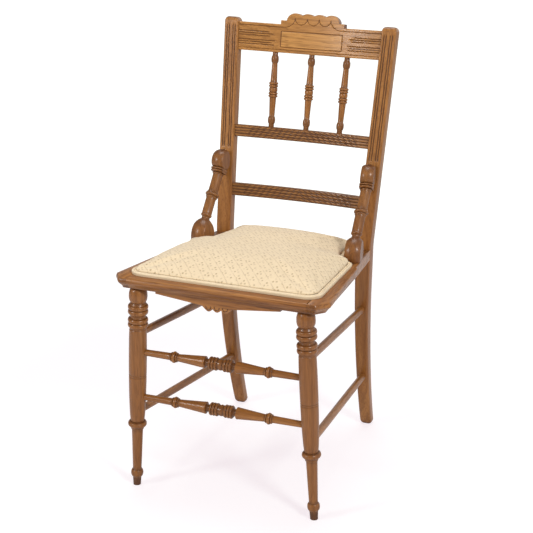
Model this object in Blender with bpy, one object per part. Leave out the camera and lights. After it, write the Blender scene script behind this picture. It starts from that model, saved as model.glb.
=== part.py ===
"""Pressed back side chair: turned front legs, bent posts, bowed back rails and an upholstered seat.

Metres, +Z up. The chair faces -Y. The origin is on the floor, in the middle of the chair's box.
Three frames carry the pieces: the layout (y = 0 at the front feet), the seat (x, distance behind
the front edge, height above the frame) and the back (x, depth behind the posts' front, height).
"""
import math

import bmesh
import bpy
from mathutils import Matrix, Vector

# Fit between pieces that touch
FIT = 0.0003

# Seat frame
SEAT_HEIGHT = 0.438  # top of the frame at its front edge
SEAT_FALL = 0.06  # drop of the seat towards the back, for each unit of depth
SEAT_DEPTH = 0.3855  # front edge to the front of the posts
SEAT_FRONT_WIDTH = 0.384  # front edge, between the cut corners
SEAT_FULL_WIDTH = 0.420  # widest place, behind the cut corners
SEAT_STOP_WIDTH = 0.372  # where the overhanging edge stops, ahead of the hip braces
CORNER_CUT = 0.027  # how far back the cut corners run
EDGE_STOP = 0.252  # how far back the overhanging edge runs
EDGE_OVERHANG = 0.008  # how far the edge is cut under
EDGE_NOSE = 0.0025  # how far the edge swells out below its top
EDGE_NOSE_DROP = 0.007  # height of that swell under the top
RAIL_THICKNESS = 0.021
FRONT_RAIL_LENGTH = 0.354  # at the front edge, between the side rails
FRONT_RAIL_WIDTH = 0.055
BACK_RAIL_WIDTH = 0.047
RAIL_SHOULDER = 0.0065  # tenon shoulder all round a seat rail's end
RAIL_TENON = 0.011

# Apron under the front rail
APRON_LENGTH = 0.246
APRON_THICKNESS = 0.012
APRON_SETBACK = 0.0105  # behind the frame's front edge
APRON_END_DROP = 0.0045
APRON_MIDDLE_DROP = 0.0140
APRON_LOBE_DROP = 0.0235
APRON_LOBE_PITCH = 0.0165
APRON_LOBE_RISE = 0.005
APRON_LOBES = 3

# Front legs
LEG_SETBACK = 0.030  # foot centre behind the seat's front edge
LEG_LEAN = 0.006  # forward lean from foot to seat
LEG_FOOT_SPREAD = 0.3686  # between foot centres
LEG_SEAT_SPREAD = 0.3292  # between leg centres under the seat
LEG_TENON_D = 0.015
LEG_TENON = 0.013
LEG_TIP_D = 0.0145
LEG_TIP = 0.0185
LEG_FOOT_D = 0.0240
LEG_FOOT_BEAD = 0.0155
LEG_ANKLE_LOW_D = 0.0168
LEG_ANKLE_HIGH_D = 0.0216
LEG_ANKLE = 0.0880
LEG_COLLAR_D = 0.0250
LEG_COLLAR = 0.0050
LEG_RING_D = 0.0362
LEG_ANKLE_RING = 0.0120
LEG_BODY_LOW_D = 0.0250
LEG_BODY_HIGH_D = 0.0316
LEG_BODY_SWELL = 0.0028  # extra radius at the middle of the body
LEG_RING = 0.0085
LEG_COVE = 0.0090
LEG_COVE_D = 0.0312
LEG_NECK = 0.0060
LEG_NECK_D = 0.0292
LEG_BALL = 0.0260
LEG_BALL_D = 0.0366
LEG_BALL_TOP_D = 0.0220

# Back posts
POST_WIDTH = 0.030
POST_DEPTH = 0.025
POST_FOOT_WIDTH = 0.0245
POST_FOOT_DEPTH = 0.023
POST_FOOT_SPREAD = 0.2906
POST_SEAT_SPREAD = 0.3044
POST_TOP_SPREAD = 0.3340
POST_FLAT_ABOVE = 0.010  # upright flat for the seat joint, above the side rail
POST_FLAT_BELOW = 0.024  # and below it
POST_SWEEP = 0.0655  # backward sweep of the lower leg
POST_EASE = 0.0028  # eased edges
POST_FOOT_EASE = 0.0055  # rounder towards the foot
POST_FOOT_ROUND = 0.008
BACK_RAKE = 0.21  # backward lean of the back, for each unit of height
BACK_HEIGHT = 0.430  # post length above the seat joint
POST_CROWN = 0.010  # height of the rounded post top
REED_PITCH = 0.0044
REED_GAP = 0.0084  # wide reed in the middle of the post
REED_GROOVE_R = 0.0020
REED_GROOVE_DEPTH = 0.0014
REED_START = 0.1640

# Back rails and crest, bowed backwards between the posts
BACK_BOW = 0.0205
RAIL_SETBACK = 0.005
BACK_TENON = 0.012
BACK_TENON_THICKNESS = 0.008
BACK_SHOULDER = 0.006
CROSS_RAIL_THICKNESS = 0.016
CROSS_RAIL_EASE = 0.0022
LOWER_RAIL_HEIGHT = 0.0676
LOWER_RAIL_WIDTH = 0.0262
MIDDLE_RAIL_HEIGHT = 0.1890
MIDDLE_RAIL_WIDTH = 0.0246
CREST_DROP = 0.0655  # crest's lower edge below the posts' tops
CREST_WIDTH = 0.0570
CREST_THICKNESS = 0.018
CREST_STEP = 0.008
CREST_STEP_SPAN = 0.1346
CREST_LOBE_WIDTH = 0.0253
CREST_LOBE_SPAN = 0.1114
CREST_LOBE_RISE = 0.0235
CREST_CUSP = 0.0040
CREST_PANEL_LENGTH = 0.1300
CREST_PANEL_LOW = 0.0102
CREST_PANEL_HIGH = 0.0430
CREST_LINE = 0.0012  # half width of the line cut round the panel
CREST_LINE_DEPTH = 0.0012
CREST_REED_FROM = 0.0765
CREST_REED_LOW = 0.0139
CREST_REED_PITCH = 0.0043
CREST_REED_SPLIT = 0.0173  # from the lower group of three to the upper one
CREST_REED_DEPTH = 0.0013

# Spindles
SPINDLE_LOW_PITCH = 0.0737
SPINDLE_HIGH_PITCH = 0.0770
SPINDLE_TENON_D = 0.0090
SPINDLE_TENON = 0.0095
SPINDLE_NECK_D = 0.0110
SPINDLE_BALL_D = 0.0152
SPINDLE_SHAFT_D = 0.0138
SPINDLE_RING_D = 0.0190
SPINDLE_BEAD_D = 0.0168
SPINDLE_BALL = 0.0150
SPINDLE_RING = 0.0052
SPINDLE_BEAD = 0.0100
SPINDLE_NECK = 0.0065

# Hip braces, turned, bent and flat on both sides
BRACE_PAD_CLEAR = 0.015  # bulb behind the place where the cover turns in
BRACE_FOOT_SPREAD = 0.3216
BRACE_BALL_HEIGHT = 0.1415  # above the seat joint, along the post
BRACE_TOE = math.radians(9)  # turn of the flats, front ends outwards
BRACE_LOW_FLAT = 0.0316  # thickness between the flats at the foot
BRACE_HIGH_FLAT = 0.0250  # and at the ball
BRACE_BULB_D = 0.0500
BRACE_BULB = 0.0440
BRACE_BULB_AT = 0.0135  # widest place of the bulb above the seat
BRACE_BULB_FALL = 0.62  # 0.5 is an ellipse, more is slimmer at the top
BRACE_NECK_D = 0.0178
BRACE_NECK = 0.0110
BRACE_LOW_SLEEVE = 0.0350
BRACE_SLEEVE_D = 0.0205
BRACE_RING_D = 0.0285
BRACE_RING = 0.0140
BRACE_COLLAR_D = 0.0280
BRACE_LOW_COLLAR_D = 0.0238
BRACE_COLLAR = 0.0070
BRACE_BALL_D = 0.0400
BRACE_BALL = 0.0380
BRACE_BALL_TOP_D = 0.0120
BRACE_DOWEL_D = 0.0090
BRACE_DOWEL = 0.0260
SCREW_D = 0.0045
SCREW_LENGTH = 0.0320
SCREW_HEAD_D = 0.0090
SCREW_HEAD = 0.0030

# Stretchers
RUNG_STOP = 0.005  # a stretcher ends this far from the axis of the piece it enters
FRONT_STRETCHER_HIGH = 0.2837
FRONT_STRETCHER_LOW = 0.1905
FRONT_ROD_END_D = 0.0125
FRONT_ROD_D = 0.0140
FRONT_BEAD_D = 0.0190
FRONT_BEAD = 0.0090
FRONT_BEAD_AT = 0.0950  # bead from the middle of the stretcher
FRONT_CONE_D = 0.0205
FRONT_RING_D = 0.0228
FRONT_RING = 0.0049
FRONT_RINGS = 3
FRONT_GROOVE_D = 0.0180  # between the rings
FRONT_MIDDLE_D = 0.0200
FRONT_MIDDLE = 0.0095
FRONT_NECK_D = 0.0132  # between cone and rings
FRONT_NECK = 0.0045
SIDE_STRETCHER_END_D = 0.0135
SIDE_STRETCHER_D = 0.0150
SIDE_HIGH_FRONT = 0.320
SIDE_HIGH_BACK = 0.283
SIDE_LOW_FRONT = 0.158
SIDE_LOW_BACK = 0.1255

# Upholstery, stacked on the seat frame
WEB_THICKNESS = 0.0014
WEB_WIDTH = 0.044
WEB_PITCH = 0.062  # between lengthwise strips
WEB_ROW_PITCH = 0.060  # between crosswise strips
WEB_FIRST_ROW = 0.045  # first crosswise strip, behind the front rail
WEB_LENGTHWISE = 4
WEB_CROSSWISE = 3
WEB_FRONT_LAP = 0.016  # webbing on the front rail
WEB_BACK_LAP = 0.020  # webbing on the back rail
BURLAP_THICKNESS = 0.0010
PAD_BORDER = 0.020  # bare wood in front of the seat cover
PAD_FRONT_WIDTH = 0.376
PAD_SIDE_WIDTH = 0.343
PAD_SIDE_DEPTH = 0.262  # where the cover turns in round the hip brace
PAD_WAIST_WIDTH = 0.285
PAD_NOTCH = 0.022  # how much further back the cover's waist starts
PAD_BACK_WIDTH = 0.260
PAD_BACK_LAP = 0.018  # cover on the back rail, behind the posts' front
PAD_CORNER_R = 0.030
PAD_NOTCH_R = 0.018
PAD_BACK_R = 0.018
PAD_SIDE = 0.0085
PAD_DRAW = 0.002  # how far the side is drawn in at its foot
PAD_ROUND = 0.006  # rounding from the side to the crown
PAD_CROWN = 0.0185
PAD_FULLNESS = 3.6  # higher values carry the crown further out to the edge
PAD_BACK_RISE = 0.007  # extra stuffing in the middle of the back edge
WELT_WIDTH = 0.0100
WELT_HEIGHT = 0.0062

# Facets
LEG_SIDES = 14
SPINDLE_SIDES = 10
BRACE_SIDES = 14
STRETCHER_SIDES = 10
BORE_SIDES = 12
BEAD_STEPS = 4

# Values worked out from the driving dimensions
POST_FRONT_Y = SEAT_DEPTH - LEG_SETBACK
POST_AXIS_Y = POST_FRONT_Y + POST_DEPTH / 2
SEAT_REAR_TOP = SEAT_HEIGHT - SEAT_FALL * SEAT_DEPTH
KNUCKLE_TOP = SEAT_REAR_TOP + POST_FLAT_ABOVE
KNUCKLE_BOTTOM = SEAT_REAR_TOP - RAIL_THICKNESS - POST_FLAT_BELOW
SEAT = (Matrix.Translation((0, -LEG_SETBACK, SEAT_HEIGHT))
        @ Matrix.Rotation(-math.atan(SEAT_FALL), 4, "X"))
BACK = (Matrix.Translation((0, POST_FRONT_Y, KNUCKLE_TOP))
        @ Matrix.Rotation(-math.atan(BACK_RAKE), 4, "X"))
CREST_HEIGHT = BACK_HEIGHT - CREST_DROP
SIDES = (("left", -1), ("right", 1))
PAD_WAIST_DEPTH = PAD_SIDE_DEPTH + PAD_NOTCH
BRACE_FOOT_DEPTH = PAD_SIDE_DEPTH + BRACE_BULB_D / 2 + BRACE_PAD_CLEAR
WEB_TOP = 2 * (FIT + WEB_THICKNESS)
BURLAP_TOP = WEB_TOP + FIT + BURLAP_THICKNESS


class Turning:
    """Outline of a turned piece, written from its lower end upwards as (radius, height) points."""

    def __init__(self, diameter):
        self.points = [(diameter / 2, 0.0)]

    def height(self):
        return self.points[-1][1]

    def taper(self, length, diameter):
        self.points.append((diameter / 2, self.height() + length))

    def step(self, diameter):
        self.points.append((diameter / 2, self.height()))

    def curve(self, length, middle_d, end_d, steps=BEAD_STEPS):
        """Half wave from here to end_d that passes middle_d: a bead, a cove, a ball or a belly."""
        start_r = self.points[-1][0]
        base = self.height()
        end_r = end_d / 2
        for k in range(1, steps + 1):
            share = k / steps
            straight = start_r + (end_r - start_r) * share
            mid_straight = (start_r + end_r) / 2
            wave = (middle_d / 2 - mid_straight) * math.sin(math.pi * share)
            rise = length * (1 - math.cos(math.pi * share)) / 2
            self.points.append((straight + wave, base + rise))

    def mirrored(self):
        """The same outline run on through its top end as a mirror image."""
        top = self.height()
        back = [(radius, 2 * top - height) for radius, height in reversed(self.points[:-1])]
        return self.points + back


def clear_scene():
    for obj in list(bpy.data.objects):
        bpy.data.objects.remove(obj, do_unlink=True)


def make_material(name, colour, roughness, metallic=0.0):
    material = bpy.data.materials.new(name)
    material.use_nodes = True
    shader = material.node_tree.nodes["Principled BSDF"]
    shader.inputs["Base Color"].default_value = (*colour, 1.0)
    shader.inputs["Roughness"].default_value = roughness
    shader.inputs["Metallic"].default_value = metallic
    return material


def add_object(name, bm, material, frame=None):
    """Turn a bmesh into a named object of the chair, placed by a frame's matrix."""
    bmesh.ops.recalc_face_normals(bm, faces=bm.faces)
    if bm.calc_volume(signed=True) < 0:
        bmesh.ops.reverse_faces(bm, faces=bm.faces)
    mesh = bpy.data.meshes.new(name)
    bm.to_mesh(mesh)
    bm.free()
    mesh.shade_smooth()
    mesh.set_sharp_from_angle(angle=math.radians(35))
    if material:
        mesh.materials.append(material)
    obj = bpy.data.objects.new(name, mesh)
    bpy.context.collection.objects.link(obj)
    obj.parent = bpy.data.objects["chair"]
    if frame:
        obj.matrix_local = frame
    return obj


def join_shape(target, bm, frame, operation):
    """Add a hidden shape to a piece, or cut it out of the piece."""
    tool = add_object(f"{target.name}_{operation.lower()}_{len(target.modifiers)}", bm, None, frame)
    tool.hide_render = True
    tool.display_type = "WIRE"
    boolean = target.modifiers.new(tool.name, "BOOLEAN")
    boolean.operation = operation
    boolean.object = tool


def skin(rings):
    """Closed solid through rings of points that all have the same count."""
    bm = bmesh.new()
    loops = []
    for ring in rings:
        loops.append([bm.verts.new(point) for point in ring])
    count = len(loops[0])
    for low, high in zip(loops, loops[1:]):
        for k in range(count):
            nxt = (k + 1) % count
            bm.faces.new((low[k], low[nxt], high[nxt], high[k]))
    bm.faces.new(list(reversed(loops[0])))
    bm.faces.new(loops[-1])
    return bm


def lathe(points, sides):
    rings = []
    for radius, height in points:
        rings.append([(radius * math.cos(2 * math.pi * k / sides),
                       radius * math.sin(2 * math.pi * k / sides), height) for k in range(sides)])
    return skin(rings)


def prism(outline, direction):
    """Solid between a flat outline and its copy moved by a vector."""
    shift = Vector(direction)
    return skin([outline, [Vector(point) + shift for point in outline]])


def box(low, high):
    x0, y0, z0 = low
    x1, y1, z1 = high
    return prism([(x0, y0, z0), (x1, y0, z0), (x1, y1, z0), (x0, y1, z0)], (0, 0, z1 - z0))


def along(start, end):
    """Frame whose Z runs from one point to the other."""
    turn = (end - start).to_track_quat("Z", "Y").to_matrix().to_4x4()
    return Matrix.Translation(start) @ turn


def bore(target, start, end, diameter):
    """Round hole from start to end, wider than its peg by the fit all round."""
    radius = diameter / 2 + FIT
    length = (end - start).length
    tool = lathe([(radius, 0), (radius, length)], BORE_SIDES)
    join_shape(target, tool, along(start, end), "DIFFERENCE")


def slice_off(bm, point, normal):
    """Cut a solid by a plane, drop what lies beyond it and close the cut."""
    geometry = list(bm.verts) + list(bm.edges) + list(bm.faces)
    bmesh.ops.bisect_plane(bm, geom=geometry, plane_co=point, plane_no=normal, clear_outer=True)
    open_edges = [edge for edge in bm.edges if edge.is_boundary]
    bmesh.ops.edgeloop_fill(bm, edges=open_edges)


# Places on the legs, posts and rails

def leg_axis(side, height):
    """Point on a front leg's axis at a height above the floor."""
    share = height / SEAT_HEIGHT
    spread = LEG_FOOT_SPREAD + (LEG_SEAT_SPREAD - LEG_FOOT_SPREAD) * share
    return Vector((side * spread / 2, -LEG_LEAN * share, height))


def post_spread(height):
    """Distance between the posts' axes at a height below the back's bend."""
    return POST_FOOT_SPREAD + (POST_SEAT_SPREAD - POST_FOOT_SPREAD) * height / KNUCKLE_TOP


def post_sweep(height):
    """Backward sweep of the lower leg and its slope, at a height above the floor."""
    share = max(0.0, 1 - height / KNUCKLE_BOTTOM)
    return POST_SWEEP * share ** 2, -2 * POST_SWEEP * share / KNUCKLE_BOTTOM


def post_axis(side, height):
    return Vector((side * post_spread(height) / 2, POST_AXIS_Y + post_sweep(height)[0], height))


def back_spread(up):
    """Distance between the posts' axes in the back's frame."""
    return POST_SEAT_SPREAD + (POST_TOP_SPREAD - POST_SEAT_SPREAD) * up / BACK_HEIGHT


def rail_reach(up):
    """Half length of a back rail at a height, up to the fit against the posts."""
    return (back_spread(up) - POST_WIDTH) / 2 - FIT


def bow(x, up):
    """Depth of a bowed rail's front face behind the posts' front."""
    return RAIL_SETBACK + BACK_BOW * (1 - (x / rail_reach(up)) ** 2)


def rail_underside(depth):
    """Layout point on the seat frame's underside, on the centre line."""
    return SEAT @ Vector((0, depth, -RAIL_THICKNESS))


def side_rail_inner(depth):
    """Inner edge of a side rail at a depth behind the front edge."""
    front = FRONT_RAIL_LENGTH / 2
    rear = (POST_SEAT_SPREAD - POST_WIDTH) / 2
    return front + (rear - front) * depth / SEAT_DEPTH


def leg_top():
    """Height of a front leg's shoulder, clear of the sloping underside all round."""
    depth = LEG_SETBACK - LEG_LEAN
    splay = (LEG_FOOT_SPREAD - LEG_SEAT_SPREAD) / 2 / SEAT_HEIGHT
    tilt = SEAT_FALL + splay
    return rail_underside(depth).z - FIT - tilt * LEG_BALL_TOP_D / 2


def mortise(rail, post, frame, low, high):
    """Tenon from a box added to a rail, and its mortise cut in the post."""
    join_shape(rail, box(low, high), frame, "UNION")
    roomy_low = [value - FIT for value in low]
    roomy_high = [value + FIT for value in high]
    join_shape(post, box(roomy_low, roomy_high), frame, "DIFFERENCE")


# Front legs and stretchers

def leg_outline(length):
    """Turning of a front leg, foot to tenon. The body takes up the length the rest leaves."""
    fixed = (LEG_TIP + LEG_FOOT_BEAD + LEG_ANKLE + LEG_COLLAR + LEG_ANKLE_RING
             + 4 * LEG_RING + LEG_COVE + LEG_NECK + LEG_BALL)
    turning = Turning(LEG_TIP_D)
    turning.taper(LEG_TIP, LEG_ANKLE_LOW_D)
    turning.curve(LEG_FOOT_BEAD, LEG_FOOT_D, LEG_ANKLE_LOW_D)
    turning.taper(LEG_ANKLE, LEG_ANKLE_HIGH_D)
    turning.step(LEG_COLLAR_D)
    turning.taper(LEG_COLLAR, LEG_COLLAR_D)
    turning.curve(LEG_ANKLE_RING, LEG_RING_D, LEG_BODY_LOW_D)
    body_middle = (LEG_BODY_LOW_D + LEG_BODY_HIGH_D) / 2 + 2 * LEG_BODY_SWELL
    turning.curve(length - fixed, body_middle, LEG_BODY_HIGH_D, 2 * BEAD_STEPS)
    for pair in range(2):
        for ring in range(2):
            turning.curve(LEG_RING, LEG_RING_D, LEG_COVE_D)
        if pair == 0:
            turning.curve(LEG_COVE, LEG_NECK_D, LEG_COVE_D)
    turning.taper(LEG_NECK, LEG_NECK_D)
    turning.curve(LEG_BALL, LEG_BALL_D, LEG_BALL_TOP_D, 6)
    turning.step(LEG_TENON_D)
    turning.taper(LEG_TENON, LEG_TENON_D)
    return turning.points


def make_front_leg(name, side, oak):
    foot = leg_axis(side, 0)
    top = leg_axis(side, leg_top())
    points = leg_outline((top - foot).length)
    below = [(points[0][0], -LEG_TIP / 2)]
    bm = lathe(below + points, LEG_SIDES)
    bm.transform(along(foot, top))
    slice_off(bm, (0, 0, 0), (0, 0, -1))
    return add_object(name, bm, oak)


def make_front_stretcher(name, height, legs, oak):
    left = leg_axis(-1, height)
    right = leg_axis(1, height)
    inward = Vector((RUNG_STOP, 0, 0))
    half = (right - left).length / 2 - RUNG_STOP
    middle = FRONT_NECK + FRONT_RINGS * FRONT_RING + FRONT_MIDDLE / 2
    socket = LEG_RING_D / 2
    turning = Turning(FRONT_ROD_END_D)
    turning.taper(socket, FRONT_ROD_END_D)
    turning.taper(half - socket - FRONT_BEAD_AT - FRONT_BEAD / 2, FRONT_ROD_D)
    turning.curve(FRONT_BEAD, FRONT_BEAD_D, FRONT_ROD_D)
    turning.taper(FRONT_BEAD_AT - FRONT_BEAD / 2 - middle, FRONT_CONE_D)
    turning.step(FRONT_NECK_D)
    turning.taper(FRONT_NECK, FRONT_NECK_D)
    for ring in range(FRONT_RINGS):
        turning.curve(FRONT_RING, FRONT_RING_D, FRONT_GROOVE_D)
    turning.taper(FRONT_MIDDLE / 2, FRONT_MIDDLE_D)
    bm = lathe(turning.mirrored(), STRETCHER_SIDES)
    stretcher = add_object(name, bm, oak, along(left + inward, right - inward))
    for leg, axis_point, out in ((legs["left"], left, 1), (legs["right"], right, -1)):
        start = axis_point + out * (inward - Vector((FIT, 0, 0)))
        bore(leg, start, start + Vector((out * LEG_RING_D, 0, 0)), FRONT_ROD_END_D)
    return stretcher


def make_side_stretcher(name, side, front_height, back_height, leg, post, oak):
    front = leg_axis(side, front_height)
    back = post_axis(side, back_height)
    run = (back - front).normalized()
    start = front + run * RUNG_STOP
    end = back - run * RUNG_STOP
    length = (end - start).length
    turning = Turning(SIDE_STRETCHER_END_D)
    turning.taper(length * 0.25, (SIDE_STRETCHER_END_D + 2 * SIDE_STRETCHER_D) / 3)
    turning.taper(length * 0.25, SIDE_STRETCHER_D)
    bm = lathe(turning.mirrored(), STRETCHER_SIDES)
    stretcher = add_object(name, bm, oak, along(start, end))
    bore(leg, start - run * FIT, start + run * LEG_RING_D, SIDE_STRETCHER_D)
    bore(post, end + run * FIT, end - run * POST_DEPTH * 1.5, SIDE_STRETCHER_D)
    return stretcher


# Back posts

def post_section(centre, across, depth_way, width, depth, ease=POST_EASE):
    """Eight-sided section of a post: a rectangle with eased corners."""
    hw = width / 2
    hd = depth / 2
    ease = min(ease, hw / 2, hd / 2)
    corners = ((ease - hw, -hd), (hw - ease, -hd), (hw, ease - hd), (hw, hd - ease),
               (hw - ease, hd), (ease - hw, hd), (-hw, hd - ease), (-hw, ease - hd))
    return [centre + across * a + depth_way * b for a, b in corners]


def lower_post_sections(side):
    sections = []
    across = Vector((1, 0, 0))
    rows = [(0.0, POST_FOOT_ROUND * 0.7), (POST_FOOT_ROUND * 0.3, POST_FOOT_ROUND * 0.25)]
    rows += [(POST_FOOT_ROUND + (KNUCKLE_BOTTOM - POST_FOOT_ROUND) * k / 8, 0.0) for k in range(9)]
    for height, inset in rows:
        share = height / KNUCKLE_BOTTOM
        width = POST_FOOT_WIDTH + (POST_WIDTH - POST_FOOT_WIDTH) * share
        depth = POST_FOOT_DEPTH + (POST_DEPTH - POST_FOOT_DEPTH) * share
        slope = post_sweep(height)[1]
        depth_way = Vector((0, 1, -slope)).normalized()
        if height <= POST_FOOT_ROUND:
            depth_way = Vector((0, 1, 0))
        ease = POST_FOOT_EASE + (POST_EASE - POST_FOOT_EASE) * share
        sections.append(post_section(post_axis(side, height), across, depth_way,
                                     width - 2 * inset, depth - 2 * inset, ease))
    return sections


def upper_post_sections(side):
    """Sections of the raked upper post in the layout frame, from the bend to the rounded top."""
    across = Vector((1, 0, 0))
    half_turn = math.atan(BACK_RAKE) / 2
    mitre_way = Vector((0, math.cos(half_turn), -math.sin(half_turn)))
    mitre_depth = POST_DEPTH / math.cos(half_turn)
    bend = Vector((side * POST_SEAT_SPREAD / 2, POST_FRONT_Y, KNUCKLE_TOP))
    sections = [post_section(bend + mitre_way * mitre_depth / 2, across, mitre_way,
                             POST_WIDTH, mitre_depth)]
    depth_way = BACK.to_3x3() @ Vector((0, 1, 0))
    for drop, inset in ((POST_CROWN, 0.0), (POST_CROWN * 0.35, POST_CROWN * 0.2), (0.0, POST_CROWN * 0.7)):
        up = BACK_HEIGHT - drop
        centre = BACK @ Vector((side * back_spread(up) / 2, POST_DEPTH / 2, up))
        sections.append(post_section(centre, across, depth_way,
                                     POST_WIDTH - 2 * inset, POST_DEPTH - 2 * inset))
    return sections


def make_post(name, side, oak):
    post = add_object(name, skin(lower_post_sections(side) + upper_post_sections(side)), oak)
    for pair in (-1, 1):
        for line in (0, 1):
            offset = pair * (REED_GAP / 2 + line * REED_PITCH)
            proud = REED_GROOVE_DEPTH - REED_GROOVE_R
            ends = []
            for up in (REED_START, BACK_HEIGHT - POST_CROWN * 1.4):
                ends.append(BACK @ Vector((side * back_spread(up) / 2 + offset, proud, up)))
            tool = lathe([(REED_GROOVE_R, 0), (REED_GROOVE_R, (ends[1] - ends[0]).length)], 8)
            join_shape(post, tool, along(ends[0], ends[1]), "DIFFERENCE")
    return post


# Back rails, crest and spindles

def tenon_rail(rail, posts, bottom, width, thickness):
    """Give a bowed rail a tenon at each end, and cut the posts for them."""
    middle = bottom + width / 2
    depth = RAIL_SETBACK + thickness / 2
    half = BACK_TENON_THICKNESS / 2
    for side_name, side in SIDES:
        inner = side * (rail_reach(middle) - BACK_TENON / 3)
        outer = side * (rail_reach(middle) + BACK_TENON)
        low = (min(inner, outer), depth - half, bottom + BACK_SHOULDER)
        high = (max(inner, outer), depth + half, bottom + width - BACK_SHOULDER)
        mortise(rail, posts[side_name], BACK, low, high)


def make_cross_rail(name, bottom, width, posts, oak):
    ease = CROSS_RAIL_EASE
    thick = CROSS_RAIL_THICKNESS
    section = ((ease, 0), (thick - ease, 0), (thick, ease), (thick, width - ease),
               (thick - ease, width), (ease, width), (0, width - ease), (0, ease))
    rings = []
    columns = 16
    for k in range(columns + 1):
        share = 2 * k / columns - 1
        ring = []
        for deep, high in section:
            up = bottom + high
            x = share * rail_reach(up)
            ring.append((x, bow(x, up) + deep, up))
        rings.append(ring)
    rail = add_object(name, skin(rings), oak, BACK)
    tenon_rail(rail, posts, bottom, width, thick)
    return rail


def crest_top(x):
    """Height of the crest's upper outline: shoulders, a step and four scalloped lobes."""
    away = abs(x)
    step = CREST_WIDTH + CREST_STEP
    peak = CREST_WIDTH + CREST_LOBE_RISE
    cusp = peak - CREST_CUSP
    lobe_end = CREST_LOBE_SPAN / 2
    last_peak = CREST_LOBE_WIDTH * 1.5
    if away >= CREST_STEP_SPAN / 2:
        return CREST_WIDTH
    if away >= lobe_end:
        return step
    if away <= last_peak:
        return cusp + CREST_CUSP * abs(math.sin(math.pi * away / CREST_LOBE_WIDTH))
    fall = (away - last_peak) / (lobe_end - last_peak)
    return step + (peak - step) * math.sqrt(1 - fall ** 2)


def crest_reed_heights():
    heights = []
    for group in (0, 1):
        heights += [CREST_REED_LOW + group * CREST_REED_SPLIT + k * CREST_REED_PITCH for k in range(3)]
    return heights


def crest_relief(x, high):
    """Depth of the cut lines on the crest's face: reeds beside the posts, a line round the panel."""
    away = abs(x)
    if away > CREST_REED_FROM:
        near = min(abs(high - reed) for reed in crest_reed_heights())
        return CREST_REED_DEPTH * max(0.0, 1 - 2 * near / CREST_REED_PITCH)
    half = CREST_PANEL_LENGTH / 2
    edge_x = abs(away - half)
    edge_z = min(abs(high - CREST_PANEL_LOW), abs(high - CREST_PANEL_HIGH))
    inside_z = CREST_PANEL_LOW - CREST_LINE <= high <= CREST_PANEL_HIGH + CREST_LINE
    on_upright = edge_x < CREST_LINE / 2 and inside_z
    on_level = edge_z < CREST_LINE / 2 and away < half + CREST_LINE
    return CREST_LINE_DEPTH if on_upright or on_level else 0.0


def crest_rows():
    rows = {0.0}
    for edge in (CREST_PANEL_LOW, CREST_PANEL_HIGH):
        rows |= {edge - CREST_LINE, edge, edge + CREST_LINE}
    for reed in crest_reed_heights():
        rows |= {reed - CREST_REED_PITCH / 2, reed}
    rows |= {crest_reed_heights()[2] + CREST_REED_PITCH / 2}
    rows |= {crest_reed_heights()[5] + CREST_REED_PITCH / 2}
    tidy = []
    for row in sorted(rows):
        if not tidy or row - tidy[-1] > CREST_LINE / 2:
            tidy.append(row)
    return tidy


def crest_columns():
    """Places across the crest that its outline and its cut lines need, for one half."""
    lobe_end = CREST_LOBE_SPAN / 2
    last_peak = CREST_LOBE_WIDTH * 1.5
    half = CREST_PANEL_LENGTH / 2
    sharp = FIT
    columns = [CREST_LOBE_WIDTH * k / 4 for k in range(7)]
    columns += [last_peak + (lobe_end - last_peak) * math.sin(math.pi * k / 8) for k in range(1, 5)]
    columns += [half - CREST_LINE, half, half + CREST_LINE]
    columns += [CREST_STEP_SPAN / 2 - sharp, CREST_STEP_SPAN / 2]
    columns += [CREST_REED_FROM, CREST_REED_FROM + 2 * CREST_LINE]
    return sorted(columns)


def make_crest(name, posts, oak):
    """Crest rail as a grid of columns, bowed in plan, with its outline and lines cut in the face."""
    rows = crest_rows()
    half = crest_columns()
    inner_end = half[-1]
    outer = [(k + 1) / 5 for k in range(5)]
    rings = []
    places = [(-1, share) for share in reversed(outer)]
    places += [(0, x) for x in [-x for x in reversed(half[1:])] + half]
    places += [(1, share) for share in outer]
    for kind, value in places:
        ring = []
        for high in rows + ["top"]:
            level = CREST_WIDTH if high == "top" else high
            up = CREST_HEIGHT + level
            x = value
            if kind:
                x = kind * (inner_end + (rail_reach(up) - inner_end) * value)
            if high == "top":
                up = CREST_HEIGHT + crest_top(x)
            ring.append((x, bow(x, CREST_HEIGHT) + crest_relief(x, level), up))
        for x, front, up in (ring[-1], ring[0]):
            ring.append((x, bow(x, CREST_HEIGHT) + CREST_THICKNESS, up))
        rings.append(ring)
    crest = add_object(name, skin(rings), oak, BACK)
    tenon_rail(crest, posts, CREST_HEIGHT, CREST_WIDTH, CREST_THICKNESS)
    return crest


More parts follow.
